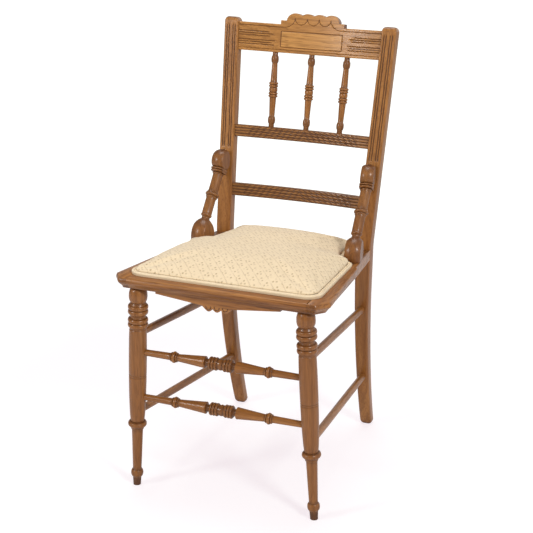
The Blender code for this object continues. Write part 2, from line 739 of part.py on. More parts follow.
def make_spindle(name, place, lower, upper, oak):
    """Turned spindle between the middle rail and the crest, in the back's frame."""
    low_up = MIDDLE_RAIL_HEIGHT + MIDDLE_RAIL_WIDTH
    low_x = place * SPINDLE_LOW_PITCH
    high_x = place * SPINDLE_HIGH_PITCH
    low = Vector((low_x, bow(low_x, low_up) + CROSS_RAIL_THICKNESS / 2, low_up + FIT))
    high = Vector((high_x, bow(high_x, CREST_HEIGHT) + CREST_THICKNESS / 2, CREST_HEIGHT - FIT))
    length = (high - low).length
    run = (high - low).normalized()
    middle = 2 * SPINDLE_RING * 2 + SPINDLE_BEAD
    shaft = (length - middle) / 2 - SPINDLE_NECK - SPINDLE_BALL
    turning = Turning(SPINDLE_TENON_D)
    turning.taper(SPINDLE_TENON, SPINDLE_TENON_D)
    turning.step(SPINDLE_NECK_D)
    turning.taper(SPINDLE_NECK, SPINDLE_NECK_D)
    turning.curve(SPINDLE_BALL, SPINDLE_BALL_D, SPINDLE_NECK_D)
    turning.taper(shaft, SPINDLE_SHAFT_D)
    for ring in range(2):
        turning.curve(SPINDLE_RING, SPINDLE_RING_D, SPINDLE_SHAFT_D)
    turning.curve(SPINDLE_BEAD / 2, SPINDLE_BEAD_D, SPINDLE_BEAD_D, 2)
    bm = lathe(turning.mirrored(), SPINDLE_SIDES)
    spindle = add_object(name, bm, oak, BACK @ along(low - run * SPINDLE_TENON, high))
    for rail, seat, way in ((lower, low, -1), (upper, high, 1)):
        end = BACK @ (seat + way * run * (SPINDLE_TENON + FIT))
        mouth = BACK @ (seat - way * run * SPINDLE_TENON)
        bore(rail, end, mouth, SPINDLE_TENON_D)
    return spindle


# Hip braces

def brace_path(side):
    """Function of a share that gives a brace's bent axis, from the side rail to above its ball."""
    foot = SEAT @ Vector((side * BRACE_FOOT_SPREAD / 2, BRACE_FOOT_DEPTH, FIT))
    ball_x = side * back_spread(BRACE_BALL_HEIGHT) / 2
    ball = BACK @ Vector((ball_x, -BRACE_BALL_D / 2, BRACE_BALL_HEIGHT))
    top = ball + Vector((0, 0, BRACE_BALL / 2))

    def point(share):
        ease = share * share * (3 - 2 * share)
        return Vector((foot.x + (top.x - foot.x) * share, foot.y + (top.y - foot.y) * ease,
                       foot.z + (top.z - foot.z) * share))
    return point


def bulb_diameter(height):
    """Diameter of the brace's egg-shaped bulb, which narrows to the neck at its top."""
    neck = math.sqrt(1 - (BRACE_NECK_D / BRACE_BULB_D) ** (1 / BRACE_BULB_FALL))
    reach = (BRACE_BULB - BRACE_BULB_AT) / neck
    return BRACE_BULB_D * (1 - ((height - BRACE_BULB_AT) / reach) ** 2) ** BRACE_BULB_FALL


def brace_outline(length):
    fixed = (BRACE_BULB + BRACE_NECK + BRACE_LOW_SLEEVE + BRACE_RING + 2 * BRACE_COLLAR + BRACE_BALL)
    turning = Turning(bulb_diameter(0))
    for k in range(1, 7):
        turning.taper(BRACE_BULB / 6, bulb_diameter(BRACE_BULB * k / 6))
    turning.curve(BRACE_NECK / 2, BRACE_SLEEVE_D, BRACE_NECK_D, 2)
    turning.curve(BRACE_NECK / 2, BRACE_SLEEVE_D, BRACE_NECK_D, 2)
    turning.step(BRACE_SLEEVE_D)
    turning.taper(BRACE_LOW_SLEEVE, BRACE_SLEEVE_D)
    turning.curve(BRACE_RING, BRACE_RING_D, BRACE_SLEEVE_D)
    turning.taper(length - fixed, BRACE_SLEEVE_D)
    turning.step(BRACE_NECK_D)
    turning.curve(BRACE_COLLAR, BRACE_LOW_COLLAR_D, BRACE_SLEEVE_D)
    turning.curve(BRACE_COLLAR, BRACE_COLLAR_D, BRACE_SLEEVE_D)
    turning.curve(BRACE_BALL, BRACE_BALL_D, BRACE_BALL_TOP_D, 6)
    return turning.points


def make_brace(name, side, oak):
    """Turned outline carried along the bent axis, with both sides sawn flat."""
    path = brace_path(side)
    samples = 80
    runs = [0.0]
    for k in range(samples):
        runs.append(runs[-1] + (path((k + 1) / samples) - path(k / samples)).length)
    toe = Matrix.Rotation(side * BRACE_TOE, 3, "Z")
    across_way = toe @ Vector((1, 0, 0))
    rings = []
    for radius, height in brace_outline(runs[-1]):
        k = min(samples - 1, max(i for i in range(samples) if runs[i] <= height + FIT))
        share = (k + (height - runs[k]) / (runs[k + 1] - runs[k])) / samples
        ahead = path(min(1.0, share + 0.01)) - path(max(0.0, share - 0.01))
        normal = toe @ Vector((0, ahead.z, -ahead.y)).normalized()
        flat = (BRACE_LOW_FLAT + (BRACE_HIGH_FLAT - BRACE_LOW_FLAT) * share) / 2
        centre = path(share)
        ring = []
        for n in range(BRACE_SIDES):
            angle = 2 * math.pi * (n + 0.5) / BRACE_SIDES
            across = max(-flat, min(flat, radius * math.cos(angle)))
            ring.append(centre + across_way * across + normal * radius * math.sin(angle))
        rings.append(ring)
    bm = skin(rings)
    seat_normal = SEAT.to_3x3() @ Vector((0, 0, -1))
    slice_off(bm, SEAT @ Vector((0, 0, FIT)), seat_normal)
    post_normal = BACK.to_3x3() @ Vector((0, 1, 0))
    slice_off(bm, BACK @ Vector((0, -FIT, 0)), post_normal)
    return add_object(name, bm, oak)


def make_brace_dowel(name, side, brace, rail, oak):
    foot = Vector((side * BRACE_FOOT_SPREAD / 2, BRACE_FOOT_DEPTH, 0))
    reach = Vector((0, 0, BRACE_DOWEL / 2))
    low = SEAT @ (foot - reach)
    high = SEAT @ (foot + reach)
    bm = lathe([(BRACE_DOWEL_D / 2, 0), (BRACE_DOWEL_D / 2, BRACE_DOWEL)], STRETCHER_SIDES)
    dowel = add_object(name, bm, oak, along(low, high))
    spare = (high - low).normalized() * FIT
    bore(brace, high + spare, low, BRACE_DOWEL_D)
    bore(rail, low - spare, high, BRACE_DOWEL_D)
    return dowel


def make_brace_screw(name, side, brace, post, steel):
    """Countersunk screw through the post, from behind, into the brace's ball."""
    x = side * back_spread(BRACE_BALL_HEIGHT) / 2
    head = BACK @ Vector((x, POST_DEPTH - FIT, BRACE_BALL_HEIGHT))
    run = BACK.to_3x3() @ Vector((0, -1, 0))
    tip = head + run * SCREW_LENGTH
    outline = [(SCREW_HEAD_D / 2, 0), (SCREW_D / 2, SCREW_HEAD), (SCREW_D / 2, SCREW_LENGTH * 0.8),
               (SCREW_D / 6, SCREW_LENGTH)]
    screw = add_object(name, lathe(outline, STRETCHER_SIDES), steel, along(head, tip))
    wide = [(SCREW_HEAD_D / 2 + FIT + SCREW_HEAD_D / 2, -SCREW_HEAD_D / 2),
            (SCREW_HEAD_D / 2 + FIT, 0), (SCREW_D / 2 + FIT, SCREW_HEAD),
            (SCREW_D / 2 + FIT, SCREW_LENGTH + FIT)]
    for target in (post, brace):
        join_shape(target, lathe(wide, STRETCHER_SIDES), along(head, tip), "DIFFERENCE")
    return screw


# Seat frame

def seat_edge():
    """Outer top edge of the right side rail: front joint, cut corner, edge stop and post."""
    post_outer = (POST_SEAT_SPREAD + POST_WIDTH) / 2
    return [(FRONT_RAIL_LENGTH / 2, 0), (SEAT_FRONT_WIDTH / 2, 0), (SEAT_FULL_WIDTH / 2, CORNER_CUT),
            (SEAT_STOP_WIDTH / 2, EDGE_STOP), (post_outer, SEAT_DEPTH)]


def under_edge():
    """Outer bottom edge of the same rail, cut under except behind the edge stop."""
    joint, corner, full, stop, post = seat_edge()
    under = EDGE_OVERHANG
    return [(side_rail_inner(under), under), (corner[0] - under / 2, under),
            (full[0] - under, full[1] + under / 4), (stop[0] - under / 2, stop[1] + under / 2), post]


def nose_edge():
    """Outer edge of the same rail where it swells out, just below the top."""
    joint, corner, full, stop, post = seat_edge()
    nose = EDGE_NOSE
    return [(side_rail_inner(-nose), -nose), (corner[0] + nose / 2, -nose), (full[0] + nose, full[1]),
            stop, post]


def post_plane_depth(high):
    """Seat-frame depth of the posts' front face, which is upright in the layout."""
    slope = math.atan(SEAT_FALL)
    return (SEAT_DEPTH / math.cos(slope) - FIT) - high * math.tan(slope)


def make_side_rail(name, side, posts, oak):
    rings = []
    for edge, high in ((under_edge(), -RAIL_THICKNESS), (nose_edge(), -EDGE_NOSE_DROP), (seat_edge(), 0.0)):
        rear = post_plane_depth(high)
        ring = [(side * x, depth, high) for x, depth in edge[:-1]]
        ring.append((side * edge[-1][0], rear, high))
        ring.append((side * side_rail_inner(SEAT_DEPTH), rear, high))
        rings.append(ring)
    rail = add_object(name, skin(rings), oak, SEAT)
    post_inner = (POST_SEAT_SPREAD - POST_WIDTH) / 2
    inner = side * (post_inner + RAIL_SHOULDER)
    outer = side * (post_inner + POST_WIDTH - RAIL_SHOULDER)
    rear = post_plane_depth(-RAIL_THICKNESS / 2)
    low = (min(inner, outer), rear - RAIL_TENON, RAIL_SHOULDER - RAIL_THICKNESS)
    high = (max(inner, outer), rear + RAIL_TENON, -RAIL_SHOULDER)
    mortise(rail, posts, SEAT, low, high)
    return rail


def make_front_rail(name, side_rails, legs, oak):
    under = EDGE_OVERHANG
    width = FRONT_RAIL_WIDTH
    section = ((under, -RAIL_THICKNESS), (width, -RAIL_THICKNESS), (width, 0), (0, 0),
               (-EDGE_NOSE, -EDGE_NOSE_DROP))
    rings = []
    for side in (-1, 1):
        rings.append([(side * (side_rail_inner(depth) - FIT), depth, high) for depth, high in section])
    rail = add_object(name, skin(rings), oak, SEAT)
    for side_name, side in SIDES:
        inner = side * (side_rail_inner(width) - RAIL_TENON / 2)
        outer = side * (side_rail_inner(width) + RAIL_TENON)
        low = (min(inner, outer), under + RAIL_SHOULDER, RAIL_SHOULDER - RAIL_THICKNESS)
        high = (max(inner, outer), width - RAIL_SHOULDER, -RAIL_SHOULDER)
        mortise(rail, side_rails[side_name], SEAT, low, high)
        top = leg_axis(side, leg_top())
        run = (top - leg_axis(side, 0)).normalized()
        bore(rail, top + run * (LEG_TENON + FIT), top - run * LEG_TENON, LEG_TENON_D)
    return rail


def make_back_rail(name, posts, oak):
    """Back seat rail between the posts, level with the side rails."""
    rear = SEAT_DEPTH + POST_DEPTH - FIT - POST_EASE
    front = rear - BACK_RAIL_WIDTH
    reach = (post_spread(KNUCKLE_BOTTOM) - POST_WIDTH) / 2 - FIT
    rail = add_object(name, box((-reach, front, -RAIL_THICKNESS), (reach, rear, 0)), oak, SEAT)
    half = BACK_TENON_THICKNESS / 2
    depth = SEAT_DEPTH + RAIL_TENON + FIT + (POST_DEPTH - RAIL_TENON) / 2
    for side_name, side in SIDES:
        inner = side * (reach - RAIL_TENON)
        outer = side * (reach + RAIL_TENON)
        low = (min(inner, outer), depth - half, RAIL_SHOULDER - RAIL_THICKNESS)
        high = (max(inner, outer), depth + half, -RAIL_SHOULDER)
        mortise(rail, posts[side_name], SEAT, low, high)
    return rail


def apron_outline():
    """Lower edge of the apron for one half, end to middle, as (x, drop) points."""
    end = APRON_LENGTH / 2
    lobes = APRON_LOBES * APRON_LOBE_PITCH / 2
    points = [(end, APRON_END_DROP), (lobes + APRON_LOBE_RISE, APRON_MIDDLE_DROP)]
    steps = 4 * APRON_LOBES
    for k in range(steps + 1):
        x = lobes * (1 - k / steps)
        phase = math.pi * (x / APRON_LOBE_PITCH + APRON_LOBES / 2)
        points.append((x, APRON_LOBE_DROP - APRON_LOBE_RISE * (1 - abs(math.sin(phase)))))
    return points


def make_apron(name, oak):
    under = -RAIL_THICKNESS - FIT
    half = apron_outline()
    end = APRON_LENGTH / 2
    outline = [(x, APRON_SETBACK, under - drop) for x, drop in half]
    outline += [(-x, APRON_SETBACK, under - drop) for x, drop in reversed(half[:-1])]
    outline += [(-end, APRON_SETBACK, under), (end, APRON_SETBACK, under)]
    return add_object(name, prism(outline, (0, APRON_THICKNESS, 0)), oak, SEAT)


# Upholstery

def rounded_corner(before, corner, after, radius, steps=5):
    """Arc that replaces a corner of an outline."""
    to_before = (before - corner).normalized()
    to_after = (after - corner).normalized()
    half = to_before.angle(to_after) / 2
    centre = corner + (to_before + to_after).normalized() * radius / math.sin(half)
    start = corner + to_before * radius / math.tan(half) - centre
    end = corner + to_after * radius / math.tan(half) - centre
    points = []
    for k in range(steps + 1):
        blend = (start * (1 - k / steps) + end * (k / steps)).normalized() * radius
        points.append(centre + blend)
    return points


def cover_outline():
    """Outer edge of the seat cover in the seat frame, counter-clockwise from its front right."""
    back = SEAT_DEPTH + PAD_BACK_LAP
    corners = [(PAD_FRONT_WIDTH / 2, PAD_BORDER, PAD_CORNER_R),
               (PAD_SIDE_WIDTH / 2, PAD_SIDE_DEPTH, PAD_NOTCH_R),
               (PAD_WAIST_WIDTH / 2, PAD_WAIST_DEPTH, PAD_NOTCH_R),
               (PAD_BACK_WIDTH / 2, back, PAD_BACK_R)]
    corners += [(-x, depth, radius) for x, depth, radius in reversed(corners)]
    points = []
    count = len(corners)
    for k, (x, depth, radius) in enumerate(corners):
        before = Vector(corners[k - 1][:2])
        after = Vector(corners[(k + 1) % count][:2])
        points += rounded_corner(before, Vector((x, depth)), after, radius)
    return points


def cover_reach(depth):
    """Half width of the cover at a depth ahead of the place where it turns in."""
    share = (depth - PAD_BORDER) / (PAD_SIDE_DEPTH - PAD_BORDER)
    return (PAD_FRONT_WIDTH + (PAD_SIDE_WIDTH - PAD_FRONT_WIDTH) * share) / 2


def inset_outline(points, inset):
    """Outline moved inwards by an even distance."""
    moved = []
    count = len(points)
    for k, point in enumerate(points):
        way = (points[(k + 1) % count] - points[k - 1]).normalized()
        moved.append(point + Vector((-way.y, way.x)) * inset)
    return moved


def make_welt(name, fabric):
    """Double welt that runs round the cover and hides its edge, two cords side by side."""
    outline = cover_outline()
    foot = FIT
    crease = foot + WELT_HEIGHT * 0.55
    section = ((0.0, foot), (0.0, crease), (WELT_WIDTH / 4, foot + WELT_HEIGHT), (WELT_WIDTH / 2, crease),
               (WELT_WIDTH * 3 / 4, foot + WELT_HEIGHT), (WELT_WIDTH, crease), (WELT_WIDTH, foot))
    lines = [inset_outline(outline, inset) for inset, high in section]
    bm = bmesh.new()
    loops = []
    for line, (inset, high) in zip(lines, section):
        loops.append([bm.verts.new((point.x, point.y, high)) for point in line])
    count = len(outline)
    for k in range(len(loops)):
        near = loops[k - 1]
        far = loops[k]
        for n in range(count):
            nxt = (n + 1) % count
            bm.faces.new((near[n], near[nxt], far[nxt], far[n]))
    return add_object(name, bm, fabric, SEAT)


def back_rise(x, depth):
    """Extra height of the pad towards the middle of its back edge."""
    back = SEAT_DEPTH + PAD_BACK_LAP
    share = max(0.0, 2 * (depth - PAD_BORDER) / (back - PAD_BORDER) - 1)
    return PAD_BACK_RISE * share * max(0.0, 1 - (2 * x / PAD_BACK_WIDTH) ** 2)


def make_pad(name, fabric):
    """Stuffed seat: drawn-in side, full edge and a crown that rises to the middle."""
    edge = inset_outline(cover_outline(), WELT_WIDTH + FIT)
    middle = Vector((0, (PAD_BORDER + SEAT_DEPTH + PAD_BACK_LAP) / 2))
    base = BURLAP_TOP + FIT
    rings = []
    side = ((PAD_DRAW, 0.0), (0.0, PAD_SIDE * 0.45), (PAD_ROUND / 4, PAD_SIDE * 0.8), (PAD_ROUND, PAD_SIDE))
    for inset, high in side:
        rings.append([(point.x, point.y, base + high) for point in inset_outline(edge, inset)])
    rings[-1] = [(x, depth, high + back_rise(x, depth)) for x, depth, high in rings[-1]]
    shoulder = inset_outline(edge, PAD_ROUND)
    for share in (0.93, 0.84, 0.7, 0.5, 0.28):
        high = base + PAD_SIDE + PAD_CROWN * (1 - share ** PAD_FULLNESS)
        ring = [middle + (point - middle) * share for point in shoulder]
        rings.append([(point.x, point.y, high + back_rise(point.x, point.y)) for point in ring])
    return add_object(name, skin(rings), fabric, SEAT)


def web_path(places, start, end, first_low):
    """Heights of a webbing strip that passes over and under the strips at the given places."""
    low = FIT
    high = 2 * FIT + WEB_THICKNESS
    reach = WEB_WIDTH / 2 + WEB_THICKNESS
    path = [(start, low)]
    for k, place in enumerate(places):
        level = low if (k % 2 == 0) == first_low else high
        path += [(place - reach, level), (place + reach, level)]
    path.append((end, low))
    return path


def make_web(name, across_x, place, path, jute):
    """Woven strip of webbing, flat on the frame at its ends."""
    half = WEB_WIDTH / 2
    rings = []
    for run, level in path:
        corners = ((place - half, level), (place + half, level),
                   (place + half, level + WEB_THICKNESS), (place - half, level + WEB_THICKNESS))
        if across_x:
            rings.append([(run, side, high) for side, high in corners])
        else:
            rings.append([(side, run, high) for side, high in corners])
    return add_object(name, skin(rings), jute, SEAT)


def make_webbing(jute):
    front = FRONT_RAIL_WIDTH - WEB_FRONT_LAP
    back_edge = SEAT_DEPTH + POST_DEPTH - FIT - POST_EASE - BACK_RAIL_WIDTH
    back = back_edge + WEB_BACK_LAP
    columns = [(k - (WEB_LENGTHWISE - 1) / 2) * WEB_PITCH for k in range(WEB_LENGTHWISE)]
    first = FRONT_RAIL_WIDTH + WEB_FIRST_ROW
    rows = [first + WEB_ROW_PITCH * k for k in range(WEB_CROSSWISE)]
    for k, x in enumerate(columns):
        path = web_path(rows, front, back, k % 2 == 0)
        make_web(f"webbing_lengthwise_{k + 1}", False, x, path, jute)
    for k, depth in enumerate(rows):
        reach = cover_reach(depth + WEB_WIDTH / 2) - WELT_WIDTH - 2 * FIT
        path = web_path(columns, -reach, reach, k % 2 == 1)
        make_web(f"webbing_crosswise_{k + 1}", True, depth, path, jute)


def make_burlap(name, sacking):
    """Sacking over the webbing, under the stuffing, cut to the pad's outline."""
    outline = inset_outline(cover_outline(), WELT_WIDTH + 4 * FIT)
    points = [(point.x, point.y, WEB_TOP + FIT) for point in outline]
    return add_object(name, prism(points, (0, 0, BURLAP_THICKNESS)), sacking, SEAT)


def chair_middle():
    """Layout depth of the middle of the chair's box, which is set on the origin."""
    rear = []
    for x in crest_columns():
        behind = bow(x, CREST_HEIGHT) + CREST_THICKNESS
        rear.append((BACK @ Vector((x, behind, CREST_HEIGHT + crest_top(x)))).y)
    front = SEAT @ Vector((0, -EDGE_NOSE, -EDGE_NOSE_DROP))
    return (max(rear) + front.y) / 2


def build_chair():
    clear_scene()
    oak = make_material("oak", (0.33, 0.165, 0.058), 0.38)
    fabric = make_material("woven_cover", (0.80, 0.66, 0.44), 0.85)
    jute = make_material("jute_webbing", (0.42, 0.30, 0.16), 0.9)
    sacking = make_material("sacking", (0.36, 0.25, 0.13), 0.95)
    steel = make_material("screw_steel", (0.33, 0.30, 0.26), 0.45, 1.0)

    chair = bpy.data.objects.new("chair", None)
    bpy.context.collection.objects.link(chair)
    chair.location = (0, -chair_middle(), 0)

    legs = {name: make_front_leg(f"front_leg_{name}", side, oak) for name, side in SIDES}
    posts = {name: make_post(f"back_post_{name}", side, oak) for name, side in SIDES}
    make_front_stretcher("front_stretcher_upper", FRONT_STRETCHER_HIGH, legs, oak)
    make_front_stretcher("front_stretcher_lower", FRONT_STRETCHER_LOW, legs, oak)
    for name, side in SIDES:
        make_side_stretcher(f"side_stretcher_upper_{name}", side, SIDE_HIGH_FRONT, SIDE_HIGH_BACK,
                            legs[name], posts[name], oak)
        make_side_stretcher(f"side_stretcher_lower_{name}", side, SIDE_LOW_FRONT, SIDE_LOW_BACK,
                            legs[name], posts[name], oak)

    side_rails = {name: make_side_rail(f"side_seat_rail_{name}", side, posts[name], oak)
                  for name, side in SIDES}
    make_front_rail("front_seat_rail", side_rails, legs, oak)
    make_back_rail("back_seat_rail", posts, oak)
    make_apron("front_apron", oak)

    make_cross_rail("lower_back_rail", LOWER_RAIL_HEIGHT, LOWER_RAIL_WIDTH, posts, oak)
    middle = make_cross_rail("middle_back_rail", MIDDLE_RAIL_HEIGHT, MIDDLE_RAIL_WIDTH, posts, oak)
    crest = make_crest("crest_rail", posts, oak)
    for name, place in (("left", -1), ("centre", 0), ("right", 1)):
        make_spindle(f"back_spindle_{name}", place, middle, crest, oak)

    for name, side in SIDES:
        brace = make_brace(f"hip_brace_{name}", side, oak)
        make_brace_dowel(f"hip_brace_dowel_{name}", side, brace, side_rails[name], oak)
        make_brace_screw(f"hip_brace_screw_{name}", side, brace, posts[name], steel)

    make_webbing(jute)
    make_burlap("seat_burlap", sacking)
    make_pad("seat_pad", fabric)
    make_welt("seat_welt", fabric)
    bpy.context.view_layer.update()


build_chair()
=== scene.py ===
"""Looks of a pressed back side chair: waxed oak turnings, pressed boards and a stuffed, covered seat.

Metres, +Z up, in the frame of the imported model. The chair faces -Y, and sizes repeat its construction.
Turned pieces are drawn up from a circle, ring by ring. Boards, posts and strips are a grid wrapped
round a run of sections. Each sub-assembly is a class that holds its sizes, builds its pieces and
dresses them.
"""
import logging
import math
from contextlib import contextmanager
from dataclasses import dataclass, field
from enum import Enum
from typing import Iterator, NamedTuple, Union

import bmesh
import bpy
import numpy as np
from mathutils import Matrix, Vector


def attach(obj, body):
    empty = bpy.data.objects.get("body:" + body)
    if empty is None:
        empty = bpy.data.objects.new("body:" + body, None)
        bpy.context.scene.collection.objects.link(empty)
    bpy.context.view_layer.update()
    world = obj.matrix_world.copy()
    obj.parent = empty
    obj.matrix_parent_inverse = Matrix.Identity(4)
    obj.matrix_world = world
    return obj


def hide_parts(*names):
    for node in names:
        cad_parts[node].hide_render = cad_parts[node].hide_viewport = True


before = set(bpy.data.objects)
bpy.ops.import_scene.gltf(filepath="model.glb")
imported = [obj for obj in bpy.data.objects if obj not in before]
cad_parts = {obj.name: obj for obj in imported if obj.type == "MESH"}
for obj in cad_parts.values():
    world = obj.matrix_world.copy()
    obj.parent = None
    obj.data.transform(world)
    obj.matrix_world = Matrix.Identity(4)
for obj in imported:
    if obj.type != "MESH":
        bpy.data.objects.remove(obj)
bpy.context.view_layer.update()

LOG = logging.getLogger("chair")
QUARTER = math.pi / 2
WAVE_REPEAT = 0.314  # spacing of a wave texture's bands at a scale of 1

Piece = bpy.types.Object
Socket = bpy.types.NodeSocket
Material = bpy.types.Material
Array = np.ndarray
Triple = tuple[float, float, float]
Colour = Triple
Amount = Union[float, Socket]


class Grain(Enum):
    """Way the grain runs in a piece, as an axis of the frame."""

    ACROSS = 0
    LENGTHWISE = 1
    UPRIGHT = 2


class Cloth(Enum):
    """Cut of the woven cover: with its sprigs, or a plain bias strip for the welt."""

    SPRIGGED = "sprigged"
    PLAIN = "plain"


class Ring(NamedTuple):
    """One ring of a turned piece."""

    radius: float
    height: float
    # How dark the ring is stained: dirt, and painted shade in its hollows.
    patina: float


# Modelling by hand


def select_only(piece: Piece) -> None:
    """Deselect everything and make one piece the active one.

    Args:
        piece: The piece.
    """
    bpy.ops.object.select_all(action="DESELECT")
    piece.select_set(True)
    bpy.context.view_layer.objects.active = piece


@contextmanager
def editing(piece: Piece) -> Iterator[None]:
    """Open a piece in edit mode with all of it selected, and close it again.

    Args:
        piece: The mesh object to edit.
    """
    select_only(piece)
    bpy.ops.object.mode_set(mode="EDIT")
    bpy.ops.mesh.select_all(action="SELECT")
    yield
    bpy.ops.object.mode_set(mode="OBJECT")


def finished(node: str) -> str:
    """Name of the piece that stands for a node."""
    return f"{node}_finished"


def primitive(name: str, kind: str, **sizes: object) -> Piece:
    """Add a primitive at the origin, with everything else deselected.

    Args:
        name: Name of the piece.
        kind: Which primitive.
        **sizes: Its sizes.

    Returns:
        The piece.
    """
    bpy.ops.object.select_all(action="DESELECT")
    getattr(bpy.ops.mesh, f"primitive_{kind}_add")(**sizes)
    bpy.context.object.name = name
    return bpy.context.object


def applied(piece: Piece, kind: str, **settings: object) -> None:
    """Add a modifier and apply it.

    Args:
        piece: The piece to change.
        kind: The modifier's type.
        **settings: Its settings.
    """
    select_only(piece)
    bpy.ops.object.modifier_add(type=kind)
    for name, value in settings.items():
        setattr(piece.modifiers[-1], name, value)
    bpy.ops.object.modifier_apply(modifier=piece.modifiers[-1].name)


def smooth(piece: Piece, degrees: float = 32.0) -> None:
    """Shade a piece smooth, with crisp edges where it turns by more than an angle."""
    select_only(piece)
    bpy.ops.object.shade_smooth_by_angle(angle=math.radians(degrees), keep_sharp_edges=True)


def place(piece: Piece, matrix: Matrix) -> None:
    """Move a piece and write its place into its mesh.

    Args:
        piece: The piece.
        matrix: The move.
    """
    select_only(piece)
    piece.matrix_world = matrix
    bpy.ops.object.transform_apply(location=True, rotation=True, scale=True)


def mirrored(piece: Piece) -> Piece:
    """Copy a right-hand piece to the left side of the chair.

    Args:
        piece: The right-hand piece.

    Returns:
        The copy, with a mesh of its own.
    """
    select_only(piece)
    bpy.ops.object.duplicate()
    twin = bpy.context.object
    twin.name = piece.name.replace("_right", "_left")
    twin.scale.x = -1
    bpy.ops.object.transform_apply(location=False, rotation=False, scale=True)
    with editing(twin):
        bpy.ops.mesh.normals_make_consistent(inside=False)
    return twin


def saw(piece: Piece, point: Vector, outward: Vector) -> None:
    """Saw a piece by a plane, drop what lies outside it and close the cut.

    Args:
        piece: The piece to cut.
        point: A point on the plane.
        outward: The plane's normal, towards the waste.
    """
    with editing(piece):
        bpy.ops.mesh.bisect(plane_co=point, plane_no=outward, use_fill=True, clear_outer=True)


def stain(piece: Piece, name: str, values: Array) -> None:
    """Write a value for each vertex, which the finish reads by name."""
    attribute = piece.data.attributes.new(name, "FLOAT", "POINT")
    attribute.data.foreach_set("value", np.ascontiguousarray(values, np.float32).ravel())


def points_of(piece: Piece) -> Array:
    """Places of a piece's vertices.

    Args:
        piece: The piece.

    Returns:
        Rows of three numbers.
    """
    flat = np.zeros(len(piece.data.vertices) * 3, np.float32)
    piece.data.vertices.foreach_get("co", flat)
    return flat.reshape(-1, 3).astype(float)


def move_points(piece: Piece, points: Array) -> None:
    """Set the places of a piece's vertices."""
    piece.data.vertices.foreach_set("co", points.astype(np.float32).ravel())
    piece.data.update()


def turn(node: str, rings: list[Ring], sides: int) -> Piece:
    """Turn a piece on the Z axis: a disc drawn up and widened or narrowed from ring to ring.

    Args:
        node: The node that it stands for.
        rings: Its rings, from the lower end upwards.
        sides: How many sides the round has.

    Returns:
        The closed piece, stained darker in its hollows for dirt and painted shade.
    """
    piece = primitive(finished(node), "circle", vertices=sides, radius=rings[0].radius, fill_type="NGON")
    with editing(piece):
        bpy.ops.transform.translate(value=(0, 0, rings[0].height))
        for low, high in zip(rings, rings[1:]):
            rise = (0, 0, high.height - low.height)
            bpy.ops.mesh.extrude_region_move(TRANSFORM_OT_translate={"value": rise})
            scale = high.radius / low.radius
            bpy.ops.transform.resize(value=(scale, scale, 1), center_override=(0, 0, high.height))
        bpy.ops.mesh.select_all(action="SELECT")
        bpy.ops.mesh.normals_make_consistent(inside=False)
    points = points_of(piece)
    table = np.array(rings)
    outward = np.hypot(points[:, 0], points[:, 1])
    miss = np.abs(outward[:, None] - table[:, 0]) + np.abs(points[:, 2, None] - table[:, 1])
    stain(piece, "patina", table[np.argmin(miss, axis=1), 2])
    return piece


def wrap(node: str, sections: Array, **stains: Array) -> Piece:
    """Wrap a grid round a run of closed sections and close its two ends.

    Args:
        node: The node that it stands for.
        sections: Points of the sections, as (section, point, xyz). A run that ends on its own first
            section closes into a ring.
        **stains: Values for each point, by the name that the finish reads.

    Returns:
        The closed piece.
    """
    count, points = sections.shape[:2]
    piece = primitive(finished(node), "grid", x_subdivisions=points, y_subdivisions=count - 1, size=1)
    move_points(piece, np.concatenate([sections, sections[:, :1]], axis=1))
    for name, values in stains.items():
        stain(piece, name, np.concatenate([values, values[:, :1]], axis=1))
    with editing(piece):
        bpy.ops.mesh.remove_doubles(threshold=1e-6)
        bpy.ops.mesh.fill_holes(sides=0)
        bpy.ops.mesh.normals_make_consistent(inside=False)
    return piece


def along(start: Vector, end: Vector) -> Matrix:
    """Frame whose Z runs from one point to the other."""
    return Matrix.Translation(start) @ (end - start).to_track_quat("Z", "Y").to_matrix().to_4x4()


def carried(matrix: Matrix, points: Array) -> Array:
    """Points moved by a matrix, with their shape kept."""
    table = np.array(matrix)
    return points @ table[:3, :3].T + table[:3, 3]


def board(node: str, matrix: Matrix, places: tuple[Array, Array, Array], **stains: Array) -> Piece:
    """Wrap a board from the grids of its places.

    Args:
        node: The node that it stands for.
        matrix: The frame that the places are given in.
        places: Places along the frame's three axes, as (section, point).
        **stains: Values for each point, by the name that the finish reads.

    Returns:
        The closed board.
    """
    sections = np.stack(np.broadcast_arrays(*places), axis=2)
    spread = {key: np.broadcast_to(values, sections.shape[:2]) for key, values in stains.items()}
    return wrap(node, carried(matrix, sections), **spread)


def level(outline: Array, high: float) -> Array:
    """Outline laid at a height, as rows of three numbers."""
    return np.c_[outline, np.full(len(outline), high)]


def groove(distance: Array, half: float, depth: float) -> Array:
    """Depth of a round-bottomed cut at a distance from its middle line."""
    return depth * np.clip(1 - (distance / half) ** 2, 0, None)


def rounded_edge(distance: Array, radius: float) -> Array:
    """How far a face falls back at a distance from its rounded edge."""
    near = np.clip(1 - distance / radius, 0, 1)
    return radius * (1 - np.sqrt(1 - near ** 2))


def eased(radius: float, steps: int = 5) -> Array:
    """Distances from an edge, close together at the edge, up to its radius."""
    return radius * (1 - np.cos(np.linspace(0, QUARTER, steps)))


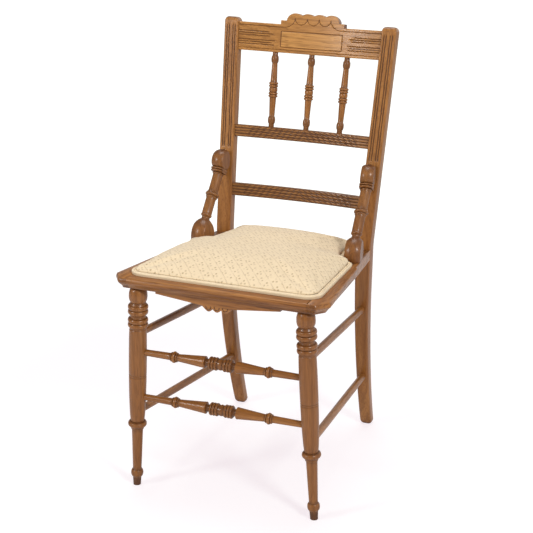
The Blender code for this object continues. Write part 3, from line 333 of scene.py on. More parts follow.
def rounded_outline(corners: list[Triple], steps: int = 8) -> Array:
    """Closed outline with an arc at each corner.

    Args:
        corners: The corners as x, y and radius.
        steps: How many steps an arc has.

    Returns:
        Rows of x and y.
    """
    points = []
    shares = [k / steps for k in range(steps + 1)]
    for k, (x, y, radius) in enumerate(corners):
        corner = Vector((x, y))
        to_before = (Vector(corners[k - 1][:2]) - corner).normalized()
        to_after = (Vector(corners[(k + 1) % len(corners)][:2]) - corner).normalized()
        half = to_before.angle(to_after) / 2
        centre = corner + (to_before + to_after).normalized() * radius / math.sin(half)
        start = corner + to_before * radius / math.tan(half) - centre
        end = corner + to_after * radius / math.tan(half) - centre
        points += [centre + (start * (1 - share) + end * share).normalized() * radius for share in shares]
    return np.array([tuple(point) for point in points])


def spaced(outline: Array, step: float) -> Array:
    """Points at an even spacing round a closed outline.

    Args:
        outline: The outline's own points.
        step: The spacing.

    Returns:
        Rows of x and y.
    """
    points = np.concatenate([outline, outline[:1]])
    runs = np.r_[0, np.cumsum(np.hypot(*np.diff(points, axis=0).T))]
    places = np.linspace(0, runs[-1], int(runs[-1] / step), endpoint=False)
    return np.stack([np.interp(places, runs, points[:, k]) for k in (0, 1)], axis=1)


def inset(outline: Array, distance: float) -> Array:
    """Closed outline, counter-clockwise, moved inwards.

    Args:
        outline: Rows of x and y.
        distance: How far.

    Returns:
        Rows of x and y.
    """
    way = np.roll(outline, -1, axis=0) - np.roll(outline, 1, axis=0)
    way /= np.hypot(way[:, 0], way[:, 1])[:, None]
    return outline + np.stack([-way[:, 1], way[:, 0]], axis=1) * distance


class TurnedOutline:
    """Outline of a turned piece, written from its lower end upwards, with edges worn a little round."""

    SAMPLE = 0.0003
    WORN = 5
    REACH = 0.0030
    FULL_DIRT_AND_SHADE_DEPTH = 0.0010
    DEEPEST = 0.78
    SOILED = 0.75
    SOIL_FADE = 0.003
    LINE_HALF = 0.0011
    LINE_DEPTH = 0.0009
    TURN = 0.16
    LONGEST = 0.007

    def __init__(self, diameter: float, start: float = 0.0) -> None:
        """Begin at a diameter and a height.

        Args:
            diameter: The diameter.
            start: The height.
        """
        self.points = [(diameter / 2, start)]
        self.lines: tuple[float, ...] = ()
        self.soiled = start
        self.age = 0.0

    def height(self) -> float:
        """Height reached so far."""
        return self.points[-1][1]

    def draw(self, *runs: tuple[float, ...]) -> None:
        """Run on from here. A straight run without length is a square shoulder.

        Args:
            *runs: Straight runs, as length and end diameter, and curves, as what curve takes.
        """
        for run in runs:
            if len(run) == 2:
                self.points.append((run[1] / 2, self.height() + run[0]))
            else:
                self.curve(*run)

    def curve(self, length: float, middle_d: float, end_d: float, steps: int = 14) -> None:
        """Half wave from here to an end diameter: a bead, a cove, a ball or a belly.

        Args:
            length: Its length.
            middle_d: The diameter it passes in its middle.
            end_d: The diameter it ends on.
            steps: How many steps it is drawn with.
        """
        start_r = self.points[-1][0]
        base = self.height()
        end_r = end_d / 2
        swell = middle_d / 2 - (start_r + end_r) / 2
        for k in range(1, steps + 1):
            share = k / steps
            radius = start_r + (end_r - start_r) * share + swell * math.sin(math.pi * share)
            self.points.append((radius, base + length * (1 - math.cos(math.pi * share)) / 2))

    def mirror(self) -> None:
        """Run the outline on through its top end as a mirror image."""
        top = self.height()
        self.points += [(radius, 2 * top - height) for radius, height in reversed(self.points[:-1])]

    def rings(self) -> list[Ring]:
        """Rings of the piece, close together where the outline turns.

        Returns:
            The rings with their patina, from the lower end upwards.
        """
        outline = np.array(self.points)
        runs = np.r_[0, np.cumsum(np.hypot(*np.diff(outline, axis=0).T))]
        fine = np.linspace(0, runs[-1], int(runs[-1] / self.SAMPLE))
        radius = np.interp(fine, runs, outline[:, 0])
        height = np.interp(fine, runs, outline[:, 1])
        for line in self.lines:
            radius = radius - groove(np.abs(height - line), self.LINE_HALF, self.LINE_DEPTH)
        radius = self._worn(radius)
        height = self._worn(height)
        soiled = self.SOILED * np.clip((self.soiled - height) / self.SOIL_FADE, 0, 1)
        # Darkening: dirt and painted shade in the hollows, dirt at the lower end, and the piece's own
        # darkening all over.
        patina = np.maximum(np.maximum(self._patina(radius), soiled), self.age)
        way = np.arctan2(np.diff(radius), np.diff(height))
        kept = [0]
        turned = 0.0
        for k in range(1, len(fine) - 1):
            turned += abs(way[k] - way[k - 1])
            if turned > self.TURN or fine[k] - fine[kept[-1]] > self.LONGEST:
                kept.append(k)
                turned = 0.0
        kept.append(len(fine) - 1)
        return [Ring(radius[k], height[k], patina[k]) for k in kept]

    def _worn(self, values: Array) -> Array:
        """Values evened out over a short reach, with both ends kept.

        Args:
            values: The values.

        Returns:
            The even values.
        """
        padded = np.pad(values, self.WORN // 2, mode="edge")
        even = np.convolve(padded, np.ones(self.WORN) / self.WORN, mode="valid")
        even[[0, -1]] = values[[0, -1]]
        return even

    def _patina(self, radius: Array) -> Array:
        """Dirt and painted shade in narrow hollows.

        Args:
            radius: The outline's radius, place by place.

        Returns:
            How far each place lies below the mean of its neighbours, as a share.
        """
        reach = int(self.REACH / self.SAMPLE)
        padded = np.pad(radius, reach, mode="edge")
        mean = np.convolve(padded, np.ones(2 * reach + 1) / (2 * reach + 1), mode="valid")
        return self.DEEPEST * np.clip((mean - radius) / self.FULL_DIRT_AND_SHADE_DEPTH, 0, 1) ** 0.6


def darkened(rings: list[Ring], low: float, high: float, patina: float) -> list[Ring]:
    """Rings of a turned piece, darkened at least to a share between two heights."""
    return [ring._replace(patina=max(ring.patina, patina)) if low < ring.height < high else ring
            for ring in rings]


# Finishes


class NodeSheet:
    """Nodes of a finish or of the surroundings, with short ways to add them and join them."""

    def __init__(self, owner: Union[Material, bpy.types.World], shader: str = "Principled BSDF") -> None:
        """Open the nodes of a material or a world.

        Args:
            owner: The material or world.
            shader: Name of its shader.
        """
        owner.use_nodes = True
        self.owner = owner
        self.tree = owner.node_tree
        self.shader = self.tree.nodes[shader]

    def add(self, kind: str, inputs: dict, **settings: object) -> bpy.types.Node:
        """Add a node.

        Args:
            kind: Its type.
            inputs: Values or sockets for its inputs, by name or number.
            **settings: Its own settings.

        Returns:
            The node.
        """
        node = self.tree.nodes.new(f"ShaderNode{kind}")
        for key, value in settings.items():
            setattr(node, key, value)
        self.join(node, inputs)
        return node

    def join(self, node: bpy.types.Node, inputs: dict) -> None:
        """Set a node's inputs.

        Args:
            node: The node.
            inputs: Values or other nodes' sockets, by name or number.
        """
        for key, value in inputs.items():
            if isinstance(value, Socket):
                self.tree.links.new(value, node.inputs[key])
            else:
                node.inputs[key].default_value = value

    def object_place(self) -> Socket:
        """Place on the piece, in the chair's frame."""
        return self.add("TexCoord", {}).outputs["Object"]

    def axes(self, where: Socket) -> bpy.types.NodeOutputs:
        """A place's three numbers, by axis."""
        return self.add("SeparateXYZ", {"Vector": where}).outputs

    def stretched(self, where: Socket, scale: tuple[float, ...]) -> Socket:
        """A place scaled by axis."""
        return self.add("Mapping", {"Vector": where, "Scale": scale}).outputs["Vector"]

    def noise(self, where: Socket, scale: float, detail: float = 2.0, distortion: float = 0.0) -> Socket:
        """Cloudy value from 0 to 1."""
        inputs = {"Vector": where, "Scale": scale, "Detail": detail, "Distortion": distortion}
        return self.add("TexNoise", inputs).outputs["Fac"]

    def wave(self, where: Socket, scale: float, direction: str, distortion: float = 0.0) -> Socket:
        """Banded value from 0 to 1."""
        inputs = {"Vector": where, "Scale": scale, "Distortion": distortion, "Detail Scale": 1.4}
        return self.add("TexWave", inputs, bands_direction=direction).outputs["Fac"]

    def attribute(self, name: str) -> Socket:
        """Value stained on the piece."""
        return self.add("Attribute", {}, attribute_name=name).outputs["Fac"]

    def math(self, operation: str, *values: Amount) -> Socket:
        """Sum, product or another operation on one, two or three values."""
        return self.add("Math", dict(enumerate(values)), operation=operation).outputs["Value"]

    def ramp(self, value: Amount, low: float, high: float, start: Amount = 0.0, end: Amount = 1.0,
             easing: str = "SMOOTHSTEP") -> Socket:
        """Step of a value, from start at low to end at high."""
        inputs = {"Value": value, "From Min": low, "From Max": high, "To Min": start, "To Max": end}
        return self.add("MapRange", inputs, interpolation_type=easing).outputs["Result"]

    def mix(self, share: Amount, first: Union[Colour, Socket], second: Union[Colour, Socket]) -> Socket:
        """Colour between two others."""
        pair = [c if isinstance(c, Socket) else (*c, 1.0) for c in (first, second)]
        return self.add("Mix", {0: share, 6: pair[0], 7: pair[1]}, data_type="RGBA").outputs[2]

    def weave(self, where: Socket, thread: float, wander: float) -> Socket:
        """Plain weave from 0 to 1, of threads at a spacing."""
        bands = [self.wave(where, WAVE_REPEAT / thread, axis, wander) for axis in "XY"]
        return self.math("MULTIPLY", *bands)

    def seen(self, rays: bpy.types.Node) -> Socket:
        """Share of rays that look at the surroundings: camera and transmission rays."""
        return self.math("MAXIMUM", rays.outputs["Is Camera Ray"], rays.outputs["Is Transmission Ray"])

    def bump(self, height: Socket, distance: float, strength: float) -> None:
        """Give the shader a fine relief."""
        inputs = {"Height": height, "Distance": distance, "Strength": strength}
        self.join(self.shader, {"Normal": self.add("Bump", inputs).outputs["Normal"]})


def new_sheet(name: str) -> NodeSheet:
    """Nodes of a new material."""
    return NodeSheet(bpy.data.materials.new(name))


@dataclass(frozen=True)
class OakFinish:
    """Golden oak under an old waxed varnish, dark where its pieces are stained: dirt and painted shade in
    the hollows, painted shade under the seat rails' nose.
    """

    light: Colour = (0.400, 0.166, 0.042)
    middle: Colour = (0.268, 0.099, 0.023)
    dark: Colour = (0.115, 0.037, 0.008)
    grime_and_shade: Colour = (0.058, 0.021, 0.011)
    pale: Colour = (0.66, 0.335, 0.100)
    draw: float = 0.045
    pore_draw: float = 0.035
    flame_scale: float = 24.0
    ring_scale: float = 42.0
    streak_scale: float = 400.0
    pore_scale: float = 760.0
    plain_streaks: float = 0.24
    marked_streaks: float = 0.62
    pale_share: float = 0.75
    ring_share: float = 0.24
    pore_share: float = 0.42
    end_share: float = 0.62
    thinnest_grime_and_shade: float = 0.72
    thickest_grime_and_shade: float = 0.92
    coat: float = 0.40
    coat_roughness: float = 0.23
    specular: float = 0.22
    relief: float = 0.00012
    relief_strength: float = 0.55

    def material(self, grain: Grain) -> Material:
        """Make the finish for one way of the grain.

        Args:
            grain: The way the grain runs.

        Returns:
            The material.
        """
        sheet = new_sheet(f"waxed_oak_{grain.name.lower()}")
        ramp = sheet.ramp
        mix = sheet.mix
        where = sheet.object_place()
        drawn = sheet.stretched(where, self._scale(grain, self.draw))
        fine = sheet.stretched(where, self._scale(grain, self.pore_draw))
        flames = sheet.noise(drawn, self.flame_scale, 3.0, 0.7)
        rings = sheet.wave(drawn, self.ring_scale, "DIAGONAL", 5.0)
        streaks = sheet.noise(drawn, self.streak_scale, 2.0)
        pores = sheet.noise(fine, self.pore_scale, 1.0)
        patina = sheet.attribute("patina")
        marked = ramp(sheet.attribute("figure"), 0.0, 1.0, self.plain_streaks, self.marked_streaks)
        streaked = sheet.math("MULTIPLY", ramp(streaks, 0.49, 0.66), marked)
        pale = ramp(sheet.attribute("tone"), 0.0, 1.0, 0.0, self.pale_share)
        end = self._end_grain(sheet, grain)
        colour = mix(ramp(flames, 0.30, 0.72), self.middle, self.light)
        colour = mix(pale, colour, self.pale)
        colour = mix(ramp(rings, 0.45, 0.98, 0.0, self.ring_share), colour, self.dark)
        colour = mix(streaked, colour, self.dark)
        colour = mix(ramp(pores, 0.56, 0.70, 0.0, self.pore_share), colour, self.dark)
        colour = mix(ramp(end, 0.50, 0.92, 0.0, self.end_share), colour, self.dark)
        # The stained darkening, as grime and painted shade: in the hollows, under the seat rails' nose and
        # over the front legs.
        worn = ramp(flames, 0.1, 0.9, self.thinnest_grime_and_shade, self.thickest_grime_and_shade)
        grime_and_shade_share = sheet.math("MULTIPLY", ramp(patina, 0.05, 0.90), worn)
        colour = mix(grime_and_shade_share, colour, self.grime_and_shade)
        rough = ramp(streaks, 0.3, 0.8, 0.30, 0.44)
        rough = sheet.math("ADD", rough, ramp(patina, 0.0, 1.0, 0.0, 0.22))
        sheet.join(sheet.shader, {"Base Color": colour, "Roughness": rough, "Coat Weight": self.coat,
                                  "Coat Roughness": self.coat_roughness,
                                  "Specular IOR Level": self.specular})
        relief = sheet.math("ADD", ramp(pores, 0.58, 0.72, 1.0, 0.0),
                            ramp(streaks, 0.4, 0.8, 0.5, 0.0))
        sheet.bump(relief, self.relief, self.relief_strength)
        return sheet.owner

    @staticmethod
    def _end_grain(sheet: NodeSheet, grain: Grain) -> Socket:
        """How squarely a face cuts the grain, from 0 to 1."""
        normal = sheet.add("NewGeometry", {}).outputs["Normal"]
        return sheet.math("ABSOLUTE", sheet.axes(normal)[grain.value])

    @staticmethod
    def _scale(grain: Grain, draw: float) -> tuple[float, ...]:
        """Scale that draws a pattern out along the grain."""
        return tuple(draw if axis == grain.value else 1.0 for axis in range(3))


@dataclass(frozen=True)
class CoverFinish:
    """Cream woven cover with slanted lines of tan dashes and staggered sprigs between them."""

    cream: Colour = (0.83, 0.675, 0.46)
    shade: Colour = (0.70, 0.545, 0.345)
    sprig: Colour = (0.47, 0.325, 0.175)
    skew: float = 2.9
    diamond_width: float = 0.0437
    diamond_depth: float = 0.0538
    dashes: float = 10.0
    sprigs: float = 2.0
    stagger: float = 0.25
    petals: int = 3
    petal: float = 0.0023
    petal_reach: float = 1.7
    thread: float = 0.0011
    wander: float = 0.4

    def material(self, cloth: Cloth) -> Material:
        """Make the cover's finish.

        Args:
            cloth: Its cut.

        Returns:
            The material.
        """
        sheet = new_sheet(f"woven_cover_{cloth.value}")
        where = sheet.object_place()
        weave = sheet.weave(where, self.thread, self.wander)
        slub = sheet.noise(sheet.stretched(where, (1.0, 0.12, 1.0)), 420.0, 2.0)
        cloud = sheet.noise(where, 14.0, 2.0)
        colour = sheet.mix(sheet.ramp(slub, 0.35, 0.75, 0.0, 0.35), self.cream, self.shade)
        colour = sheet.mix(sheet.ramp(cloud, 0.3, 0.7, 0.0, 0.18), colour, self.shade)
        colour = sheet.mix(sheet.ramp(weave, 0.0, 0.5, 0.22, 0.0), colour, self.shade)
        height = sheet.math("ADD", weave, sheet.math("MULTIPLY", slub, 0.6))
        if cloth is Cloth.SPRIGGED:
            figure = self._figure(sheet, where)
            colour = sheet.mix(figure, colour, self.sprig)
            height = sheet.math("ADD", height, sheet.math("MULTIPLY", figure, 0.8))
        sheet.join(sheet.shader, {"Base Color": colour, "Roughness": sheet.ramp(slub, 0.2, 0.8, 0.72, 0.9),
                                  "Sheen Weight": 0.18, "Sheen Roughness": 0.5, "Specular IOR Level": 0.25})
        sheet.bump(height, 0.00022, 0.6)
        return sheet.owner

    def _figure(self, sheet: NodeSheet, where: Socket) -> Socket:
        """Slanted lines of dashes with rows of sprigs between them, from 0 to 1.

        Args:
            sheet: The nodes to add to.
            where: Place on the piece.

        Returns:
            Share of the sprig's colour.
        """
        calc = sheet.math
        wander = sheet.noise(where, 150.0, 2.0)
        turned = sheet.add("Mapping", {"Vector": where, "Rotation": (0, 0, -math.radians(self.skew))})
        axes = sheet.axes(turned.outputs["Vector"])
        across = calc("MULTIPLY", axes["X"], self.sprigs / self.diamond_width)
        depth = calc("MULTIPLY", axes["Y"], self.sprigs / self.diamond_depth)
        slants = (calc("ADD", across, depth), calc("SUBTRACT", across, depth))
        near = calc("SUBTRACT", 0.5, calc("ABSOLUTE", self._fold(sheet, slants[0])))
        beat = self._fold(sheet, calc("MULTIPLY", slants[1], self.dashes / self.sprigs))
        dash = sheet.ramp(calc("ABSOLUTE", beat), 0.22, 0.34, 1.0, 0.25)
        figure = calc("MULTIPLY", sheet.ramp(near, 0.035, 0.085, 0.75, 0.0), dash)
        cells = []
        for slant, other in (slants, slants[::-1]):
            row = calc("FLOOR", calc("ADD", other, 0.5))
            odd = calc("FRACT", calc("MULTIPLY", row, 0.5))
            cells.append(self._fold(sheet, calc("MULTIPLY_ADD", odd, 2 * self.stagger, slant)))
        half_x = self.diamond_width / 2 / self.sprigs
        half_y = self.diamond_depth / 2 / self.sprigs
        x = calc("MULTIPLY", calc("ADD", *cells), half_x)
        y = calc("MULTIPLY", calc("SUBTRACT", *cells), half_y)
        reach = self.petal_reach * self.petal
        for k in range(self.petals):
            angle = QUARTER + 2 * math.pi * k / self.petals
            off_x = calc("SUBTRACT", x, reach * math.cos(angle))
            off_y = calc("SUBTRACT", y, reach * math.sin(angle))
            squares = calc("MULTIPLY_ADD", off_x, off_x, calc("MULTIPLY", off_y, off_y))
            petal = sheet.ramp(calc("SQRT", squares), 0.6 * self.petal, 1.1 * self.petal, 1.0, 0.0)
            figure = calc("MAXIMUM", figure, petal)
        return calc("MULTIPLY", figure, sheet.ramp(wander, 0.32, 0.62, 0.12, 0.85))

    @staticmethod
    def _fold(sheet: NodeSheet, value: Socket) -> Socket:
        """Value folded into a cell, from -0.5 to 0.5."""
        return sheet.math("SUBTRACT", sheet.math("FRACT", sheet.math("ADD", value, 0.5)), 0.5)


@dataclass(frozen=True)
class CoarseWeave:
    """Undyed jute, as strip webbing or as open sacking."""

    name: str
    thread_colour: Colour
    gap_colour: Colour
    thread: float

    def material(self) -> Material:
        """Make the weave's finish.

        Returns:
            The material.
        """
        sheet = new_sheet(self.name)
        where = sheet.object_place()
        weave = sheet.weave(where, self.thread, 1.0)
        slub = sheet.noise(where, 300.0, 3.0)
        colour = sheet.mix(sheet.ramp(weave, 0.05, 0.6), self.gap_colour, self.thread_colour)
        colour = sheet.mix(sheet.ramp(slub, 0.4, 0.7, 0.0, 0.5), colour, self.gap_colour)
        rough = sheet.ramp(slub, 0.2, 0.8, 0.8, 0.97)
        sheet.join(sheet.shader, {"Base Color": colour, "Roughness": rough})
        sheet.bump(sheet.math("ADD", weave, slub), 0.0005, 0.8)
        return sheet.owner


@dataclass(frozen=True)
class OldSteel:
    """Dull steel of an old wood screw, with a little rust."""

    bright: Colour = (0.36, 0.34, 0.31)
    rust: Colour = (0.12, 0.06, 0.03)

    def material(self) -> Material:
        """Make the steel's finish.

        Returns:
            The material.
        """
        sheet = new_sheet("old_screw_steel")
        spots = sheet.noise(sheet.object_place(), 700.0, 4.0)
        colour = sheet.mix(sheet.ramp(spots, 0.5, 0.68), self.bright, self.rust)
        sheet.join(sheet.shader, {"Base Color": colour, "Metallic": sheet.ramp(spots, 0.5, 0.68, 1.0, 0.3),
                                  "Roughness": sheet.ramp(spots, 0.35, 0.68, 0.32, 0.75)})
        sheet.bump(spots, 0.0001, 0.4)
        return sheet.owner


class Finishes:
    """The chair's finishes, each made once."""

    WEBBING = CoarseWeave("jute_webbing_weave", (0.46, 0.33, 0.18), (0.20, 0.13, 0.06), 0.0022)
    SACKING = CoarseWeave("sacking_weave", (0.40, 0.28, 0.15), (0.13, 0.08, 0.04), 0.0030)

    def __init__(self) -> None:
        """Make the materials."""
        self.oak = {grain: OakFinish().material(grain) for grain in Grain}
        self.cover = {cloth: CoverFinish().material(cloth) for cloth in Cloth}
        self.webbing = self.WEBBING.material()
        self.sacking = self.SACKING.material()
        self.steel = OldSteel().material()


# Shared places


@dataclass(frozen=True)
class Layout:
    """Sizes and places that several sub-assemblies share."""

    fit: float = 0.0003
    middle: float = 0.228234
    seat_height: float = 0.438
    seat_fall: float = 0.06
    seat_depth: float = 0.3855
    rail_thickness: float = 0.021
    front_rail_length: float = 0.354
    front_rail_width: float = 0.055
    back_rail_width: float = 0.047
    leg_setback: float = 0.030
    leg_lean: float = 0.006
    leg_foot_spread: float = 0.3686
    leg_seat_spread: float = 0.3292
    leg_ball_top_d: float = 0.022
    leg_ring_d: float = 0.0362
    post_width: float = 0.030
    post_depth: float = 0.025
    post_ease: float = 0.0028
    post_foot_spread: float = 0.2906
    post_seat_spread: float = 0.3044
    post_top_spread: float = 0.3340
    post_flat_above: float = 0.010
    post_flat_below: float = 0.024
    post_sweep: float = 0.0655
    back_rake: float = 0.21
    back_height: float = 0.430
    back_bow: float = 0.0205
    rail_setback: float = 0.005
    cross_rail_thickness: float = 0.016
    middle_rail_height: float = 0.189
    middle_rail_width: float = 0.0246
    crest_drop: float = 0.0655
    crest_thickness: float = 0.018
    brace_ball_height: float = 0.1415

    def seat(self) -> Matrix:
        """Seat frame: x, distance behind the front edge, height above the rails."""
        start = Matrix.Translation((0, -self.leg_setback - self.middle, self.seat_height))
        return start @ Matrix.Rotation(-math.atan(self.seat_fall), 4, "X")

    def back(self) -> Matrix:
        """Back frame: x, depth behind the posts' front, height above the bend."""
        start = Matrix.Translation((0, self.post_front(), self.bend_height()))
        return start @ Matrix.Rotation(-math.atan(self.back_rake), 4, "X")

    def post_front(self) -> float:
        """Depth of the posts' front where they are upright."""
        return self.seat_depth - self.leg_setback - self.middle

    def bend_height(self) -> float:
        """Height where the posts start to lean."""
        return self.seat_height - self.seat_fall * self.seat_depth + self.post_flat_above

    def upright_from(self) -> float:
        """Height where the posts' upright stretch starts."""
        return self.bend_height() - self.post_flat_above - self.rail_thickness - self.post_flat_below

    def leg_axis(self, height: float) -> Vector:
        """Place of the right front leg's axis.

        Args:
            height: Height above the floor.

        Returns:
            The point.
        """
        share = height / self.seat_height
        spread = self.leg_foot_spread + (self.leg_seat_spread - self.leg_foot_spread) * share
        return Vector((spread / 2, -self.leg_lean * share - self.middle, height))

    def leg_top(self) -> float:
        """Height of the front legs' shoulders under the sloping rail.

        Returns:
            The height.
        """
        under = self.seat() @ Vector((0, self.leg_setback - self.leg_lean, -self.rail_thickness))
        splay = (self.leg_foot_spread - self.leg_seat_spread) / 2 / self.seat_height
        return under.z - self.fit - (self.seat_fall + splay) * self.leg_ball_top_d / 2

    def post_axis(self, height: float) -> Vector:
        """Place of the right post's axis below the bend.

        Args:
            height: Height above the floor.

        Returns:
            The point.
        """
        spread = self.post_foot_spread
        spread += (self.post_seat_spread - self.post_foot_spread) * height / self.bend_height()
        share = max(0.0, 1 - height / self.upright_from())
        depth = self.post_front() + self.post_depth / 2 + self.post_sweep * share ** 2
        return Vector((spread / 2, depth, height))

    def back_spread(self, up: Array) -> Array:
        """Distance between the posts' axes in the back frame."""
        spread = self.post_top_spread - self.post_seat_spread
        return self.post_seat_spread + spread * up / self.back_height

    def rail_reach(self, up: Array) -> Array:
        """Half length of a back rail at a height."""
        return (self.back_spread(up) - self.post_width) / 2 - self.fit

    def bow(self, x: Array, up: Array) -> Array:
        """Depth of a bowed rail's face behind the posts' front."""
        return self.rail_setback + self.back_bow * (1 - (x / self.rail_reach(up)) ** 2)

    def crest_height(self) -> float:
        """Height of the crest's lower edge in the back frame."""
        return self.back_height - self.crest_drop

    def side_rail_inner(self, depth: Array) -> Array:
        """Inner edge of a side rail at a depth in the seat frame."""
        front = self.front_rail_length / 2
        return front + ((self.post_seat_spread - self.post_width) / 2 - front) * depth / self.seat_depth

    def back_rail_rear(self) -> float:
        """Depth of the back rail's rear in the seat frame."""
        return self.seat_depth + self.post_depth - self.fit - self.post_ease


class Made(NamedTuple):
    """A finished piece, its material and its slot."""

    piece: Piece
    material: Material
    slot: str

    def node(self) -> str:
        """The node that it stands for."""
        return self.piece.name.removesuffix(finished(""))


@dataclass
class SubAssembly:
    """A group of pieces that are made together."""

    layout: Layout
    finishes: Finishes
    made: list[Made] = field(default_factory=list)

    def build(self) -> None:
        """Make the meshes."""
        raise NotImplementedError

    def keep_oak(self, piece: Piece, grain: Grain) -> None:
        """Keep an oak piece, shaded smooth."""
        smooth(piece)
        self.made.append(Made(piece, self.finishes.oak[grain], "oak"))

    def keep_pair(self, right: Piece, grain: Grain) -> None:
        """Keep a right-hand oak piece and its left-hand twin."""
        for piece in (right, mirrored(right)):
            self.keep_oak(piece, grain)

    def dress(self) -> None:
        """Give each piece its finish and set it on the chair."""
        for made in self.made:
            made.piece.data.materials.clear()
            made.piece.data.materials.append(made.material)
            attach(made.piece, "root")
            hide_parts(made.node())


# Legs, posts and stretchers


@dataclass
class FrontLegs(SubAssembly):
    """Turned front legs."""

    sides: int = 40
    tenon_d: float = 0.015
    tenon: float = 0.013
    tip_d: float = 0.0145
    tip: float = 0.0185
    foot_d: float = 0.024
    foot_bead: float = 0.0155
    ankle_low_d: float = 0.0168
    ankle_high_d: float = 0.0216
    ankle: float = 0.088
    collar_d: float = 0.025
    collar: float = 0.005
    ankle_ring: float = 0.012
    body_low_d: float = 0.025
    body_high_d: float = 0.0316
    body_swell: float = 0.0028
    ring_d: float = 0.0384
    ring: float = 0.0096
    cove: float = 0.0075
    cove_d: float = 0.0322
    neck: float = 0.0055
    neck_d: float = 0.0274
    ball: float = 0.0285
    ball_d: float = 0.0350
    scored: tuple[float, ...] = (0.2335, 0.2375, 0.3315)
    soiled: float = 0.016
    # Darkens the whole leg: a deeper tone, and painted shade for the light falling off towards the floor.
    age: float = 0.20

    def outline(self, length: float) -> TurnedOutline:
        """Turning of a leg, foot to tenon. The body takes up what the rest leaves.

        Args:
            length: From the floor to the shoulder.

        Returns:
            The outline.
        """
        fixed = (self.tip + self.foot_bead + self.ankle + self.collar + self.ankle_ring
                 + 4 * self.ring + self.cove + self.neck + self.ball)
        body_middle = (self.body_low_d + self.body_high_d) / 2 + 2 * self.body_swell
        ring = (self.ring, self.ring_d, self.cove_d)
        outline = TurnedOutline(self.tip_d, -self.tip / 2)
        outline.draw((self.tip / 2, self.tip_d), (self.tip, self.ankle_low_d),
                     (self.foot_bead, self.foot_d, self.ankle_low_d), (self.ankle, self.ankle_high_d),
                     (0, self.collar_d), (self.collar, self.collar_d),
                     (self.ankle_ring, self.layout.leg_ring_d, self.body_low_d),
                     (length - fixed, body_middle, self.body_high_d, 40), ring, ring,
                     (self.cove, self.neck_d, self.cove_d), ring, ring, (self.neck, self.neck_d),
                     (self.ball, self.ball_d, self.layout.leg_ball_top_d, 24),
                     (0, self.tenon_d), (self.tenon, self.tenon_d))
        outline.lines = self.scored
        outline.soiled = self.soiled
        outline.age = self.age
        return outline

    def build(self) -> None:
        """Turn the right leg, set it on its splay, saw its foot level and copy it."""
        foot = self.layout.leg_axis(0)
        top = self.layout.leg_axis(self.layout.leg_top())
        leg = turn("front_leg_right", self.outline((top - foot).length).rings(), self.sides)
        place(leg, along(foot, top))
        saw(leg, Vector((0, 0, 0)), Vector((0, 0, -1)))
        self.keep_pair(leg, Grain.UPRIGHT)


@dataclass
class Stretchers(SubAssembly):
    """Turned front stretchers and plain side stretchers."""

    sides: int = 32
    stop: float = 0.005
    front_high: float = 0.2837
    front_low: float = 0.1905
    end_d: float = 0.0125
    rod_d: float = 0.014
    bead_d: float = 0.0222
    bead: float = 0.0080
    bead_fillet_d: float = 0.0184
    bead_fillet: float = 0.0028
    bead_at: float = 0.095
    cone_d: float = 0.0228
    cone_lip: float = 0.0030
    ring_d: float = 0.0252
    ring: float = 0.0060
    rings: int = 3
    groove_d: float = 0.0192
    middle_d: float = 0.0222
    middle: float = 0.0120
    neck_d: float = 0.0140
    neck: float = 0.0058
    side_end_d: float = 0.0135
    side_d: float = 0.0150
    side_high: tuple[float, float] = (0.320, 0.283)
    side_low: tuple[float, float] = (0.158, 0.1255)
    middle_patina: float = 0.34

    def front_rings(self, half: float) -> list[Ring]:
        """Turning of a front stretcher: rods, beads, cones and rings about its darker middle.

        Args:
            half: Half its length.

        Returns:
            The rings.
        """
        socket = self.layout.leg_ring_d / 2
        centre = self.neck + self.rings * self.ring + self.middle / 2
        beads = self.bead / 2 + self.bead_fillet
        fillet = (self.bead_fillet, self.bead_fillet_d, self.rod_d)
        ring = (self.ring, self.ring_d, self.groove_d)
        outline = TurnedOutline(self.end_d)
        outline.draw((socket, self.end_d), (half - socket - self.bead_at - beads, self.rod_d),
                     fillet, (self.bead, self.bead_d, self.rod_d), fillet,
                     (self.bead_at - beads - centre - self.cone_lip, self.cone_d),
                     (self.cone_lip, self.cone_d, self.neck_d), (self.neck, self.neck_d),
                     *[ring] * self.rings, (self.middle / 2, self.middle_d))
        outline.mirror()
        return darkened(outline.rings(), half - centre, half + centre, self.middle_patina)

    def build(self) -> None:
        """Turn the stretchers and set them between the legs and posts."""
        for which, height in (("upper", self.front_high), ("lower", self.front_low)):
            node = f"front_stretcher_{which}"
            right = self.layout.leg_axis(height) - Vector((self.stop, 0, 0))
            left = Vector((-right.x, right.y, right.z))
            rod = turn(node, self.front_rings(right.x), self.sides)
            place(rod, along(left, right))
            self.keep_oak(rod, Grain.ACROSS)
        for which, heights in (("upper", self.side_high), ("lower", self.side_low)):
            node = f"side_stretcher_{which}"
            front = self.layout.leg_axis(heights[0])
            back = self.layout.post_axis(heights[1])
            run = (back - front).normalized() * self.stop
            outline = TurnedOutline(self.side_end_d)
            outline.curve((back - front).length - 2 * self.stop, self.side_d, self.side_end_d, 24)
            rod = turn(f"{node}_right", outline.rings(), self.sides)
            place(rod, along(front + run, back - run))
            self.keep_pair(rod, Grain.LENGTHWISE)


class PostRow(NamedTuple):
    """One section of a post: where its front is, its way in depth, its sizes and its height on the back."""

    front: Vector
    way: Vector
    width: float
    depth: float
    ease: float
    up: float


